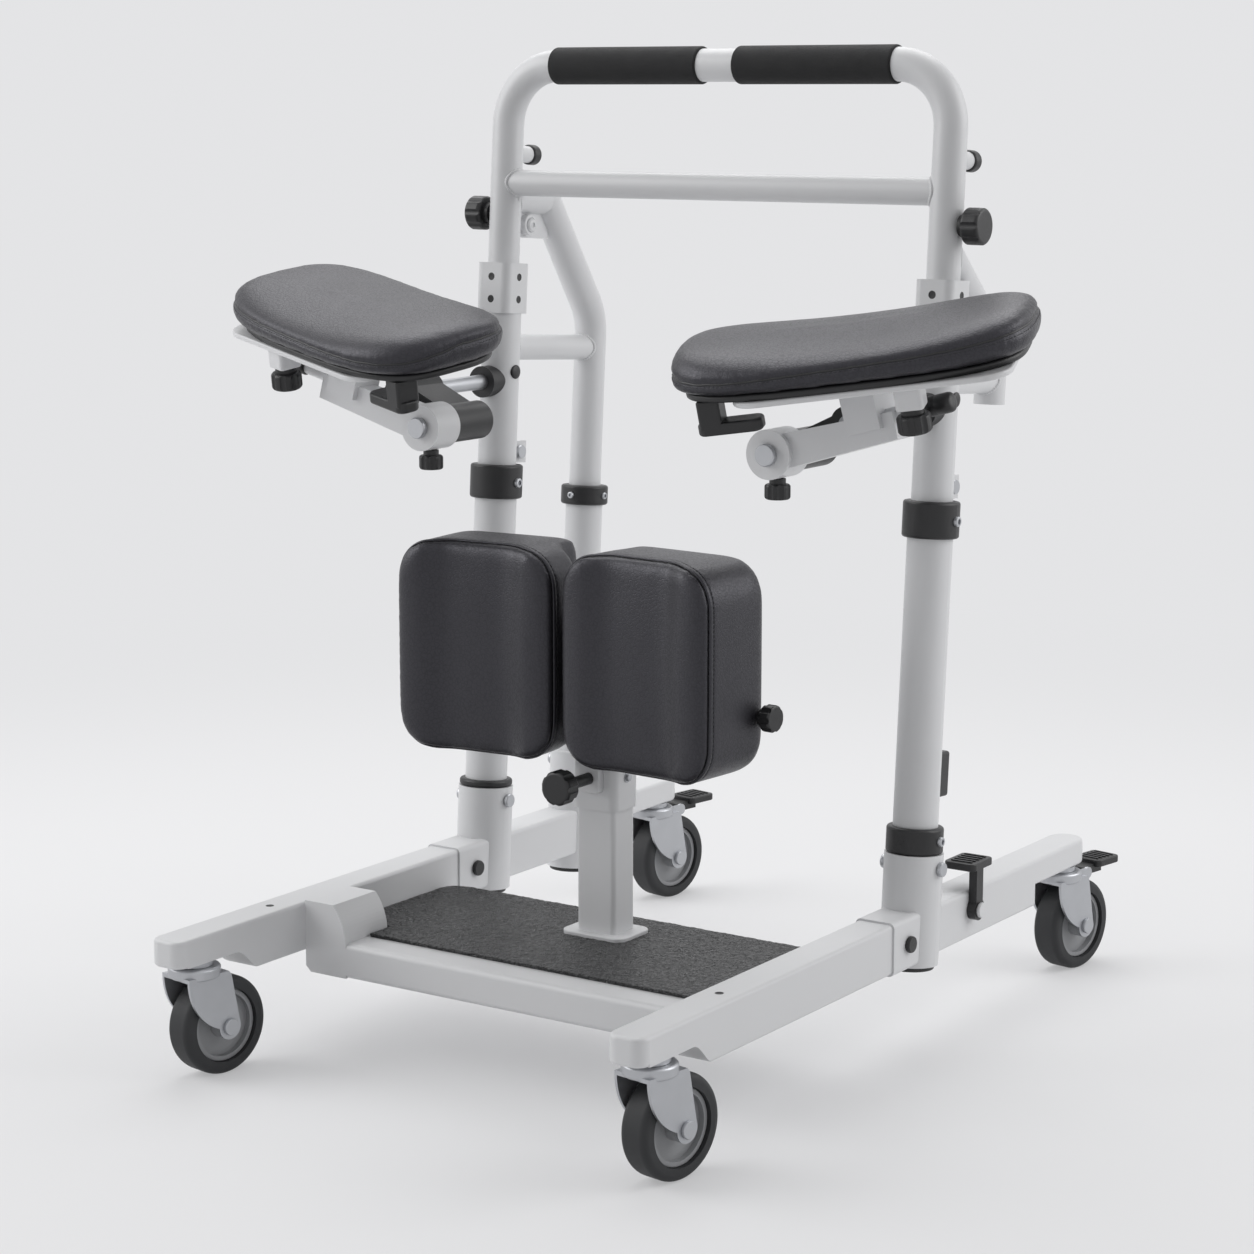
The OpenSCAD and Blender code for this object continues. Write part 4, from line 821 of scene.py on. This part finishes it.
def swell(name, points, faces, sewn, hold):
    """A stuffed cover: the form is meshed evenly and blown up between its sewn lines.

    sewn are points of the seams, where the cover is held, and hold(points) marks what rests on a board.
    """
    c = settings().cushion
    piece = remeshed(built(name, points, faces), c.voxel)
    mesh = piece.data
    rest = coords(mesh)
    seam = finder(sewn)
    gap = np.array([seam.find(p)[2] for p in rest])
    held = np.maximum(1 - step_up(gap, SEW_NEAR, SEW_FAR), hold(rest))
    move = blown(piece, held)
    put_coords(mesh, rest + move)
    ease = piece.modifiers.new("ease", "SMOOTH")
    ease.factor = 0.5
    ease.iterations = EASE_ROUNDS
    finer = piece.modifiers.new("finer", "SUBSURF")
    finer.levels = finer.render_levels = 1
    return apply_modifiers(piece)


def surface_path(mesh, path, rounds=3):
    """The path moved onto the nearest points of the surface, with the surface's normals there."""
    tree = BVHTree.FromPolygons(
        [v.co for v in mesh.vertices], [tuple(p.vertices) for p in mesh.polygons])
    hits = [tree.find_nearest(Vector(p)) for p in path]
    line = softened([tuple(h[0]) for h in hits], rounds)
    hits = [tree.find_nearest(Vector(p)) for p in line]
    return np.array([tuple(h[0]) for h in hits]), np.array([tuple(h[1]) for h in hits])


def sew(mesh, path):
    """Presses the groove of a seam into the cover, with small folds beside it."""
    c = settings().cushion
    tree = finder(path)
    points, out = coords(mesh), normals(mesh)
    near = [tree.find(p) for p in points]
    gap = np.array([n[2] for n in near])
    along = np.array([n[1] for n in near]) * np.linalg.norm(path[1] - path[0])
    pressed = c.groove * np.exp(-(gap / c.groove_w) ** 2)
    turns = 2 * math.pi * along / c.pucker_l
    fold = c.pucker * np.sin(turns) * np.sin(turns / PUCKER_BEAT)
    fold *= np.exp(-((gap - PUCKER_REACH) / PUCKER_REACH) ** 2)
    put_coords(mesh, points + out * (fold - pressed)[:, None])


def welted(name, path, out, half_w, half_h):
    """A raised band along a seam."""
    return built(name, *band_along(softened(path, 2), out, half_w, half_h))


def body_of(side, body):
    """The body of a side's piece: each arm rest has its own, and the knee pads share one."""
    return side + body if body == "arm_set" else body


def stitched(name, row, body):
    """Stitches along a row on the right cushion, and mirrored on the left one."""
    c = settings().cushion
    for side, turn in (("right_", 1), ("left_", -1)):
        path, out = (line[::turn] * (turn, 1, 1) for line in row)
        beads(
            side + name, [path + out * (c.stitch_r * STITCH_OUT)], c.stitch_pitch, c.stitch_l, c.stitch_r,
            "thread_twist", body_of(side, body))


KNEE_SEAM = (0.3, 13.5)
KNEE_ROW = (0.0, 18.2)
KNEE_BACKING = 26
KNEE_BLEND = 0.01


def knee_trough(ring):
    """Depth of the hollow between a knee pad's two bolsters."""
    return KNEE_DIP * (1 - step_up(np.abs(ring[:, 0]) / (KNEE_PAD[0] / 2), 0.34, 0.74))


def knee_form():
    """Rings of the right knee pad in its own frame, in metres, from its back to its front."""
    w, h, t = KNEE_PAD
    front = 10.0
    profile = [(12, 0.5), (5, 2), (1.5, 6), (0, 14)]
    profile += [(0, z) for z in (26, 39, 42.5, 46, 58, 72, 84)]
    profile += [
        (front * (1 - math.cos(a)), t - 1 - front + front * math.sin(a))
        for a in np.radians((0, 20, 40, 58, 74, 90))]
    profile += [(i, t - 1) for i in (14, 19, 26, 34, 43, 53, 64, 76)]
    rings = []
    for inset, z in profile:
        ring = soft_square(w - 1, h - 1, KNEE_CORNER, inset)
        dip = knee_trough(ring) * step_up(z, 40, t - 2)
        rings.append(np.column_stack([ring, z - dip]) * MM)
    return rings


def pocketed(points):
    """The room behind the pad for the post and its bracket: the inner edge steps out at the back."""
    points = np.array(points)
    deep = points[:, 1] > POCKET_Y * MM
    points[deep, 0] = np.maximum(points[deep, 0], POCKET_X * MM)
    return points


def knee_seam(inset, depth):
    """A line round the front of the knee pad, in its own frame."""
    w, h, t = KNEE_PAD
    ring = soft_square(w - 1, h - 1, KNEE_CORNER, inset)
    return np.column_stack([ring, t - depth - knee_trough(ring)]) * MM


ARM_STEPS = 96
SEAM_STEPS = 240
ARM_SEAM_INSET = 1.4
ARM_ROW = (0.4, ARM_SEAM - 3.5)
ARM_REST = (0.010, 0.018)
SINK_AT = math.radians(-138)
SINK_SPREAD = math.radians(34)
SEAM_SHADE_FLAT = 1.6


def arm_saddle(ring, height):
    """Depth of the saddle in an arm pad at a height of its cover."""
    l, _, t = ARM_PAD
    return ARM_DIP * (1 - (2 * ring[:, 0] / l) ** 2) * np.clip((height / t - 0.5) / 0.5, 0, 1)


def arm_rise(ring, height):
    """Height of a cover line: the seam sinks towards the inner front corner, and the rest goes with it."""
    l, d, _ = ARM_PAD
    turn = np.arctan2(ring[:, 1] / d, ring[:, 0] / l)
    sunk = ARM_SINK * np.exp(-((turn - SINK_AT) / SINK_SPREAD) ** 2)
    share = np.interp(height, (ARM_FOOT, ARM_SEAM, ARM_CROWN), (0, 1, 0))
    return height - sunk * share - arm_saddle(ring, height)


def arm_form():
    """Rings of the right arm pad in its own frame, in metres, from its board to its top."""
    profile = [
        (16, ARM_FOOT), (10, 7.4), (6, 8.5), (3, 12), (1, 18), (0, 24), (0.4, 29), (1.4, ARM_SEAM),
        (1.2, 34.5), (2.6, 38.5), (5.6, 42.5), (10, 45.8), (16.5, 48.5), (26, 50.6), (40, 52.0),
        (58, 52.8), (80, ARM_CROWN)]
    return [arm_seam(inset, z, ARM_STEPS) for inset, z in profile]


def arm_seam(inset, height, steps=SEAM_STEPS):
    """A line round the arm pad, in its own frame."""
    l, d, _ = ARM_PAD
    ring = oval(l - 1, d - 1, ARM_POWER, inset, steps)
    return np.column_stack([ring, arm_rise(ring, height)]) * MM


def arm_board():
    """The board under an arm pad, with a rounded lower edge."""
    l, d, _ = ARM_PAD
    rings = []
    for inset, z in ((16, 0.3), (13.5, 0.5), (12.6, 1.5), (12.4, 4), (12.4, 7.0)):
        ring = oval(l, d, ARM_POWER, inset, ARM_STEPS)
        rings.append(np.column_stack([ring, np.full(ARM_STEPS, z)]) * MM)
    return loft(rings)


def pair(right, name, finish, body, edge=None):
    """Dresses the right piece and makes its mirrored twin on the left."""
    left = new_object("left_" + name, mirrored(right.data, "left_" + name))
    for side, piece in (("left_", left), ("right_", right)):
        dress(piece, finish, body_of(side, body), edge)


def cushions(name, body, place, rings, hold, seam, row):
    """A pair of stuffed covers; gives the right one, its seam with normals, and the stitches' row."""
    seam = evenly(placed(place, seam), SEAM_STEP)
    right = swell(f"right_{name}_cushion", *loft(rings), seam, hold)
    path, out = surface_path(right.data, seam)
    sew(right.data, path)
    row = surface_path(right.data, evenly(placed(place, row), SEAM_STEP))
    pair(right, name + "_cushion", "upholstery", body)
    return right, path, out, row


class AID_OT_finish_frame(bpy.types.Operator):
    """Gives each solid of the frame its finish"""

    bl_idname = "aid.finish_frame"
    bl_label = "Finish the frame"

    def execute(self, context):
        for finish, names in (
                ("satin_paint", PAINTED), ("zinc_plate", PLATED), ("moulded_black", MOULDED),
                ("foam_sleeve", ("grips",)), ("wheel_grey", WHEELS), ("tyre_rubber", TYRES),
                ("pebbled_rubber", ("foot_mat",)), ("upholstery", PADS)):
            for name in names:
                mesh = NODES[name].data
                mesh.materials.clear()
                mesh.materials.append(material(finish))
        return {"FINISHED"}


class AID_OT_knee_pads(bpy.types.Operator):
    """Makes the two knee pads: a stuffed cover with a hollow front and a piped seam"""

    bl_idname = "aid.knee_pads"
    bl_label = "Knee pads"

    def execute(self, context):
        c = settings().cushion
        place = knee_frame()
        rings = [pocketed(placed(place, r)) for r in knee_form()]
        back = (KNEE_FRONT + KNEE_PAD[2] - KNEE_BACKING) * MM

        def rests(p):
            return step_up(p[:, 1], back, back + KNEE_BLEND)

        _, path, out, row = cushions(
            "knee", "knee_carriage", place, rings, rests, knee_seam(*KNEE_SEAM), knee_seam(*KNEE_ROW))
        for side in ("left", "right"):
            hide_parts(side + "_knee_pad")
        welt = welted("right_knee_welt", path, out, c.welt_w, c.welt_h)
        pair(welt, "knee_welt", "upholstery", "knee_carriage")
        stitched("knee_stitches", row, "knee_carriage")
        return {"FINISHED"}


class AID_OT_arm_pads(bpy.types.Operator):
    """Makes the two arm pads: a stuffed saddle with a stitched seam round it, on a board"""

    bl_idname = "aid.arm_pads"
    bl_label = "Arm pads"

    def execute(self, context):
        c = settings().cushion
        place = arm_frame()
        rings = [placed(place, r) for r in arm_form()]
        flat = np.array(place.inverted())

        def rests(p):
            return 1 - step_up(p @ flat[2, :3] + flat[2, 3], *ARM_REST)

        right, path, out, row = cushions(
            "arm", "arm_set", place, rings, rests, arm_seam(ARM_SEAM_INSET, ARM_SEAM), arm_seam(*ARM_ROW))
        for side in ("left", "right"):
            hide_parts(side + "_arm_pad")
        points, faces = arm_board()
        board = built("right_arm_board", placed(place, points), faces)
        pair(board, "arm_board", "moulded_black", "arm_set")
        line = surface_path(right.data, path)[0]
        # Painted shade: a thin dark band laid along the closed seam.
        crease = welted("right_arm_crease", line, out, c.crease * SEAM_SHADE_FLAT, c.crease)
        pair(crease, "arm_crease", "moulded_black", "arm_set")
        stitched("arm_stitches", row, "arm_set")
        return {"FINISHED"}


class AID_OT_foot_mat(bpy.types.Operator):
    """Makes the pebbled foot mat from the solid mat"""

    bl_idname = "aid.foot_mat"
    bl_label = "Foot mat"

    skin_low = 0.0016
    skin_high = 0.0004
    fine_share = 0.35
    fine_size = 0.45
    most = 1.2

    def execute(self, context):
        m = settings().mat
        piece = new_object("pebbled_mat", NODES["foot_mat"].data.copy())
        weld = piece.modifiers.new("merge", "WELD")
        weld.merge_threshold = 1e-5
        remeshed(piece, m.voxel)
        points = coords(piece.data)
        top = points[:, 2].max()
        upper = step_up(points[:, 2], top - self.skin_low, top - self.skin_high)
        fine = m.pebble * self.fine_size
        lift = np.array([
            noise.voronoi(Vector((p[0], p[1], 0)) / m.pebble)[0][0]
            + self.fine_share * noise.noise(Vector((p[0], p[1], 4)) / fine) for p in points])
        points[:, 2] -= upper * m.height * np.clip(lift, 0, self.most)
        put_coords(piece.data, points)
        dress(piece, "pebbled_rubber", "chassis")
        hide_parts("foot_mat")
        return {"FINISHED"}


# Turned heads as shares of their radius: radius and height, with a third value for a hexagon
SOCKET_SCREW = (
    (1.0, 0.0), (1.0, 0.55), (0.92, 0.70), (0.74, 0.74), (0.60, 0.74, 1), (0.57, 0.66, 1), (0.55, 0.28, 1),
    (0.20, 0.26))
HEX_BOLT = (
    (1.35, 0.0), (1.35, 0.16), (1.05, 0.18), (1.0, 0.2, 1), (1.0, 0.74, 1), (0.90, 0.86, 1), (0.5, 0.90))
# A shallow dark dish laid in a hole as painted shade
HOLE_SHADE_DISC = ((1.0, -0.16), (1.0, 0.0), (0.86, 0.03), (0.78, -0.05), (0.3, -0.08))
ROUND_PLUG = ((1.0, -0.1), (1.0, 0.16), (0.94, 0.24), (0.80, 0.30), (0.55, 0.37), (0.2, 0.40))
SLOTTED_BOSS = (
    (1.0, 0.0), (1.0, 0.52), (0.93, 0.62), (0.74, 0.64), (0.70, 0.58), (0.66, 0.58), (0.62, 0.74),
    (0.5, 0.86), (0.24, 0.93), (0.2, 0.80))
# Turned forms in millimetres, along the arm
ARM_TUBE = ((7.6, 100), (7.6, 171), (7.0, 171.6))
ARM_TUBE_CAP = (
    (8.2, 169.5), (9.2, 170), (9.7, 171.2), (9.7, 178), (9.2, 178.8), (9.2, 179.6), (9.7, 180.4),
    (9.7, 191.5), (9.2, 193.8), (7.8, 195.2), (4.0, 195.8))


def on_tube(x, y, spot, way=(1, 0)):
    """Place, aim and radius of a head on the upright tube at x and y, on the side that way points to."""
    reach, height, radius = spot
    return leaned(x + way[0] * reach, y + way[1] * reach, height), lean_way(*way, 0), radius


class AID_OT_fasteners(bpy.types.Operator):
    """Adds the small screws, bolts and plugs, and dark discs in the holes as painted shade"""

    bl_idname = "aid.fasteners"
    bl_label = "Fasteners"

    def execute(self, context):
        heads("collar_screws", SOCKET_SCREW, [
            on_tube(BEAM_X, 0, COLLAR_SCREW),
            on_tube(-BEAM_X, 0, COLLAR_SCREW),
            on_tube(BEAM_X, 0, RING_SCREW),
            on_tube(-BEAM_X, REAR_TUBE_Y, REAR_SCREW),
            on_tube(-BEAM_X, REAR_TUBE_Y, REAR_SCREW, AHEAD),
        ], "zinc_plate", "chassis")
        heads("sleeve_bolts", HEX_BOLT, [
            (np.array((side * KNEE_SLEEVE_X, POST_Y, SLEEVE_BOLT_Z)) * MM, (side, 0, 0), SLEEVE_BOLT_R)
            for side in (1, -1)], "zinc_plate", "knee_carriage")
        heads("column_plugs", ROUND_PLUG, [
            on_tube(side * BEAM_X, 0, COLUMN_PLUG) for side in (1, -1)],
            "moulded_black", "upper_frame")
        heads("lug_bolt", SLOTTED_BOSS, [on_tube(-BEAM_X, LUG_Y, LUG_BOLT)],
              "satin_paint", "upper_frame")
        # Painted shade: dark discs in the holes of the tube sleeves.
        heads("sleeve_holes", HOLE_SHADE_DISC, [
            on_tube(side * BEAM_X, 0, (HOLE_REACH, height, HOLE_R), way)
            for side in (-1, 1) for height in HOLE_HEIGHTS for way in ((1, 0), (-1, 0), (0, 1), (0, -1))],
            "moulded_black", "upper_frame")
        # Painted shade: dark discs in the holes on the noses and the front of the ring.
        heads("nose_holes", HOLE_SHADE_DISC, [
            *((np.array((side * BEAM_X, *NOSE_HOLE)) * MM, (0, 0, 1), NOSE_HOLE_R) for side in (-1, 1)),
            on_tube(BEAM_X, 0, RING_HOLE, AHEAD)], "moulded_black", "chassis")
        return {"FINISHED"}


class AID_OT_arm_tubes(bpy.types.Operator):
    """Adds the short capped tube at the outer end of each arm"""

    bl_idname = "aid.arm_tubes"
    bl_label = "Arm tubes"

    def execute(self, context):
        rise = math.radians(ARM_RISE)
        way = Vector((math.cos(rise), 0, math.sin(rise)))
        up = Vector((-math.sin(rise), 0, math.cos(rise)))
        turn = way.to_track_quat("Z", "Y").to_matrix().to_4x4()
        place = Matrix.Translation((Vector(HUB) + up * ARM_TUBE_UP) * MM) @ turn
        for name, profile, finish, slot in (
                ("arm_tube", ARM_TUBE, "satin_paint", "frame_paint"),
                ("arm_tube_cap", ARM_TUBE_CAP, "moulded_black", "black_plastic")):
            points, faces = lathe([(r * MM, z * MM) for r, z in profile], 32)
            right = built("right_" + name, placed(place, points), faces)
            pair(right, name, finish, "arm_set", 40)
        return {"FINISHED"}


class AID_OT_welds(bpy.types.Operator):
    """Adds the weld beads where tubes meet"""

    bl_idname = "aid.welds"
    bl_label = "Weld beads"

    def execute(self, context):
        w = settings().weld
        turn = np.linspace(0, 2 * math.pi, WELD_POINTS, endpoint=False)
        across, over = np.sin(turn), np.cos(turn)
        paths = []

        def saddle(r, wall):
            return np.sqrt(np.maximum(wall ** 2 - (r * across) ** 2, 0))

        def ring(x, y, z):
            points = np.column_stack(np.broadcast_arrays(x, y, z))
            paths.append(evenly([leaned(*p) for p in points], WELD_STEP * MM))

        r = CROSS_TUBE_R
        for side in (-1, 1):
            ring(side * (BEAM_X - saddle(r, HANDLE_R)), r * across, CROSSBAR_HEIGHT + r * over)
        for x, height, reach, brace in BRACE_TIES:
            ring(x + r * across, saddle(r, COLUMN_R), height + r * over)
            ring(x + r * across, reach - saddle(r, brace), height + r * over)
        half, rise, wall, height = BRACE_TOP
        ring(-BEAM_X + half * across, saddle(half, wall), height + rise * over)
        beads("weld_beads", paths, w.pitch, w.ripple, w.radius, "satin_paint", "upper_frame")
        return {"FINISHED"}


# Lamps: turn from the camera and rise in degrees, size and distance in metres
LAMPS = (
    ("key", -92, 28, 2.4, 3.4),
    ("fill", 88, 26, 2.4, 3.4),
    ("top", 180, 62, 2.6, 3.0),
)
LAMP_AIM = Vector((0, -0.02, 0.45))
FLOOR_RINGS = (2.0, 6.0, 40.0)
FLOOR_FADE = (0.9, 2.6)


class AID_OT_stage(bpy.types.Operator):
    """Sets the floor, the light and the camera"""

    bl_idname = "aid.stage"
    bl_label = "Stage"

    def execute(self, context):
        s = settings().stage
        scene = context.scene
        scene.view_settings.view_transform = "Standard"
        self.floor(s)
        self.sky(s)
        for name, turn, rise, size, reach in LAMPS:
            self.lamp(name, getattr(s, name), size, s.yaw + math.radians(turn), math.radians(rise), reach)
        lens = bpy.data.cameras.new("photo_camera")
        lens.lens = s.lens
        lens.sensor_width = 36
        lens.sensor_fit = "HORIZONTAL"
        lens.clip_end = 100
        camera = new_object("photo_camera", lens)
        camera.location = s.camera
        camera.rotation_euler = (math.pi / 2 - s.pitch, 0, s.yaw)
        scene.camera = camera
        return {"FINISHED"}

    def floor(self, s):
        steps = 48
        turns = [2 * math.pi * i / steps for i in range(steps)]
        points = [(0, 0, 0), *((r * math.cos(a), r * math.sin(a), 0) for r in FLOOR_RINGS for a in turns)]
        faces = [(0, 1 + i, 1 + (i + 1) % steps) for i in range(steps)]
        faces += [tuple(1 + v for v in reversed(face)) for face in skin(len(FLOOR_RINGS), steps)]
        floor = built("floor", points, faces)
        paper = bpy.data.materials.new("studio_paper")
        w = bare_wires(paper)
        lit = w.add("ShaderNodeBsdfDiffuse", {"Color": (*s.floor, 1)})
        even = w.add("ShaderNodeEmission", {"Color": (*s.backdrop, 1), "Strength": 1.0})
        rays = w.add("ShaderNodeLightPath").outputs
        seen = w.math("MAXIMUM", rays["Is Camera Ray"], rays["Is Glossy Ray"])
        where = w.add("ShaderNodeTexCoord").outputs["Object"]
        far = w.add("ShaderNodeVectorMath", {0: where}, operation="LENGTH").outputs["Value"]
        fade = w.spread(far, *FLOOR_FADE, 1 - s.shade, 1.0)
        both = w.add("ShaderNodeMixShader", {
            0: w.math("MULTIPLY", seen, fade), 1: lit.outputs[0], 2: even.outputs[0]})
        w.add("ShaderNodeOutputMaterial", {"Surface": both.outputs[0]})
        floor.data.materials.append(paper)

    def sky(self, s):
        world = bpy.data.worlds.new("studio")
        bpy.context.scene.world = world
        w = bare_wires(world)
        rays = w.add("ShaderNodeLightPath").outputs
        seen = w.math("MAXIMUM", rays["Is Camera Ray"], rays["Is Transmission Ray"])
        seen = w.math("MAXIMUM", seen, rays["Is Glossy Ray"])
        light = w.add("ShaderNodeBackground", {"Color": (1, 1, 1, 1), "Strength": s.sky})
        back = w.add("ShaderNodeBackground", {"Color": (*s.backdrop, 1), "Strength": 1.0})
        both = w.add("ShaderNodeMixShader", {0: seen, 1: light.outputs[0], 2: back.outputs[0]})
        w.add("ShaderNodeOutputWorld", {"Surface": both.outputs[0]})

    def lamp(self, name, power, size, turn, rise, reach):
        light = bpy.data.lights.new(name + "_light", "AREA")
        light.energy = power
        light.size = size
        lamp = new_object(name + "_light", light)
        way = Vector((math.sin(turn) * math.cos(rise), -math.cos(turn) * math.cos(rise), math.sin(rise)))
        lamp.location = LAMP_AIM + way * reach
        lamp.rotation_euler = way.to_track_quat("Z", "Y").to_euler()


class AID_PT_panel(bpy.types.Panel):
    """Lists the steps and settings of the standing aid"""

    bl_idname = "AID_PT_panel"
    bl_label = "Standing aid"
    bl_space_type = "VIEW_3D"
    bl_region_type = "UI"
    bl_category = "Standing aid"

    def draw(self, context):
        for step in STEPS:
            self.layout.operator(step.bl_idname)
        for name in AidSettings.__annotations__:
            part = getattr(context.scene.standing_aid, name)
            column = self.layout.box().column()
            for key in type(part).__annotations__:
                column.prop(part, key)


STEPS = (
    AID_OT_stage, AID_OT_finish_frame, AID_OT_knee_pads, AID_OT_arm_pads, AID_OT_foot_mat, AID_OT_fasteners,
    AID_OT_arm_tubes, AID_OT_welds,
)
CLASSES = (
    FinishSettings, CushionSettings, MatSettings, WeldSettings, StageSettings, AidSettings, *STEPS,
    AID_PT_panel,
)


def register():
    for kind in CLASSES:
        bpy.utils.register_class(kind)
    bpy.types.Scene.standing_aid = bpy.props.PointerProperty(type=AidSettings)


def unregister():
    del bpy.types.Scene.standing_aid
    for kind in reversed(CLASSES):
        bpy.utils.unregister_class(kind)


def main():
    register()
    for step in STEPS:
        group, name = step.bl_idname.split(".")
        getattr(getattr(bpy.ops, group), name)()


if __name__ == "__main__":
    main()
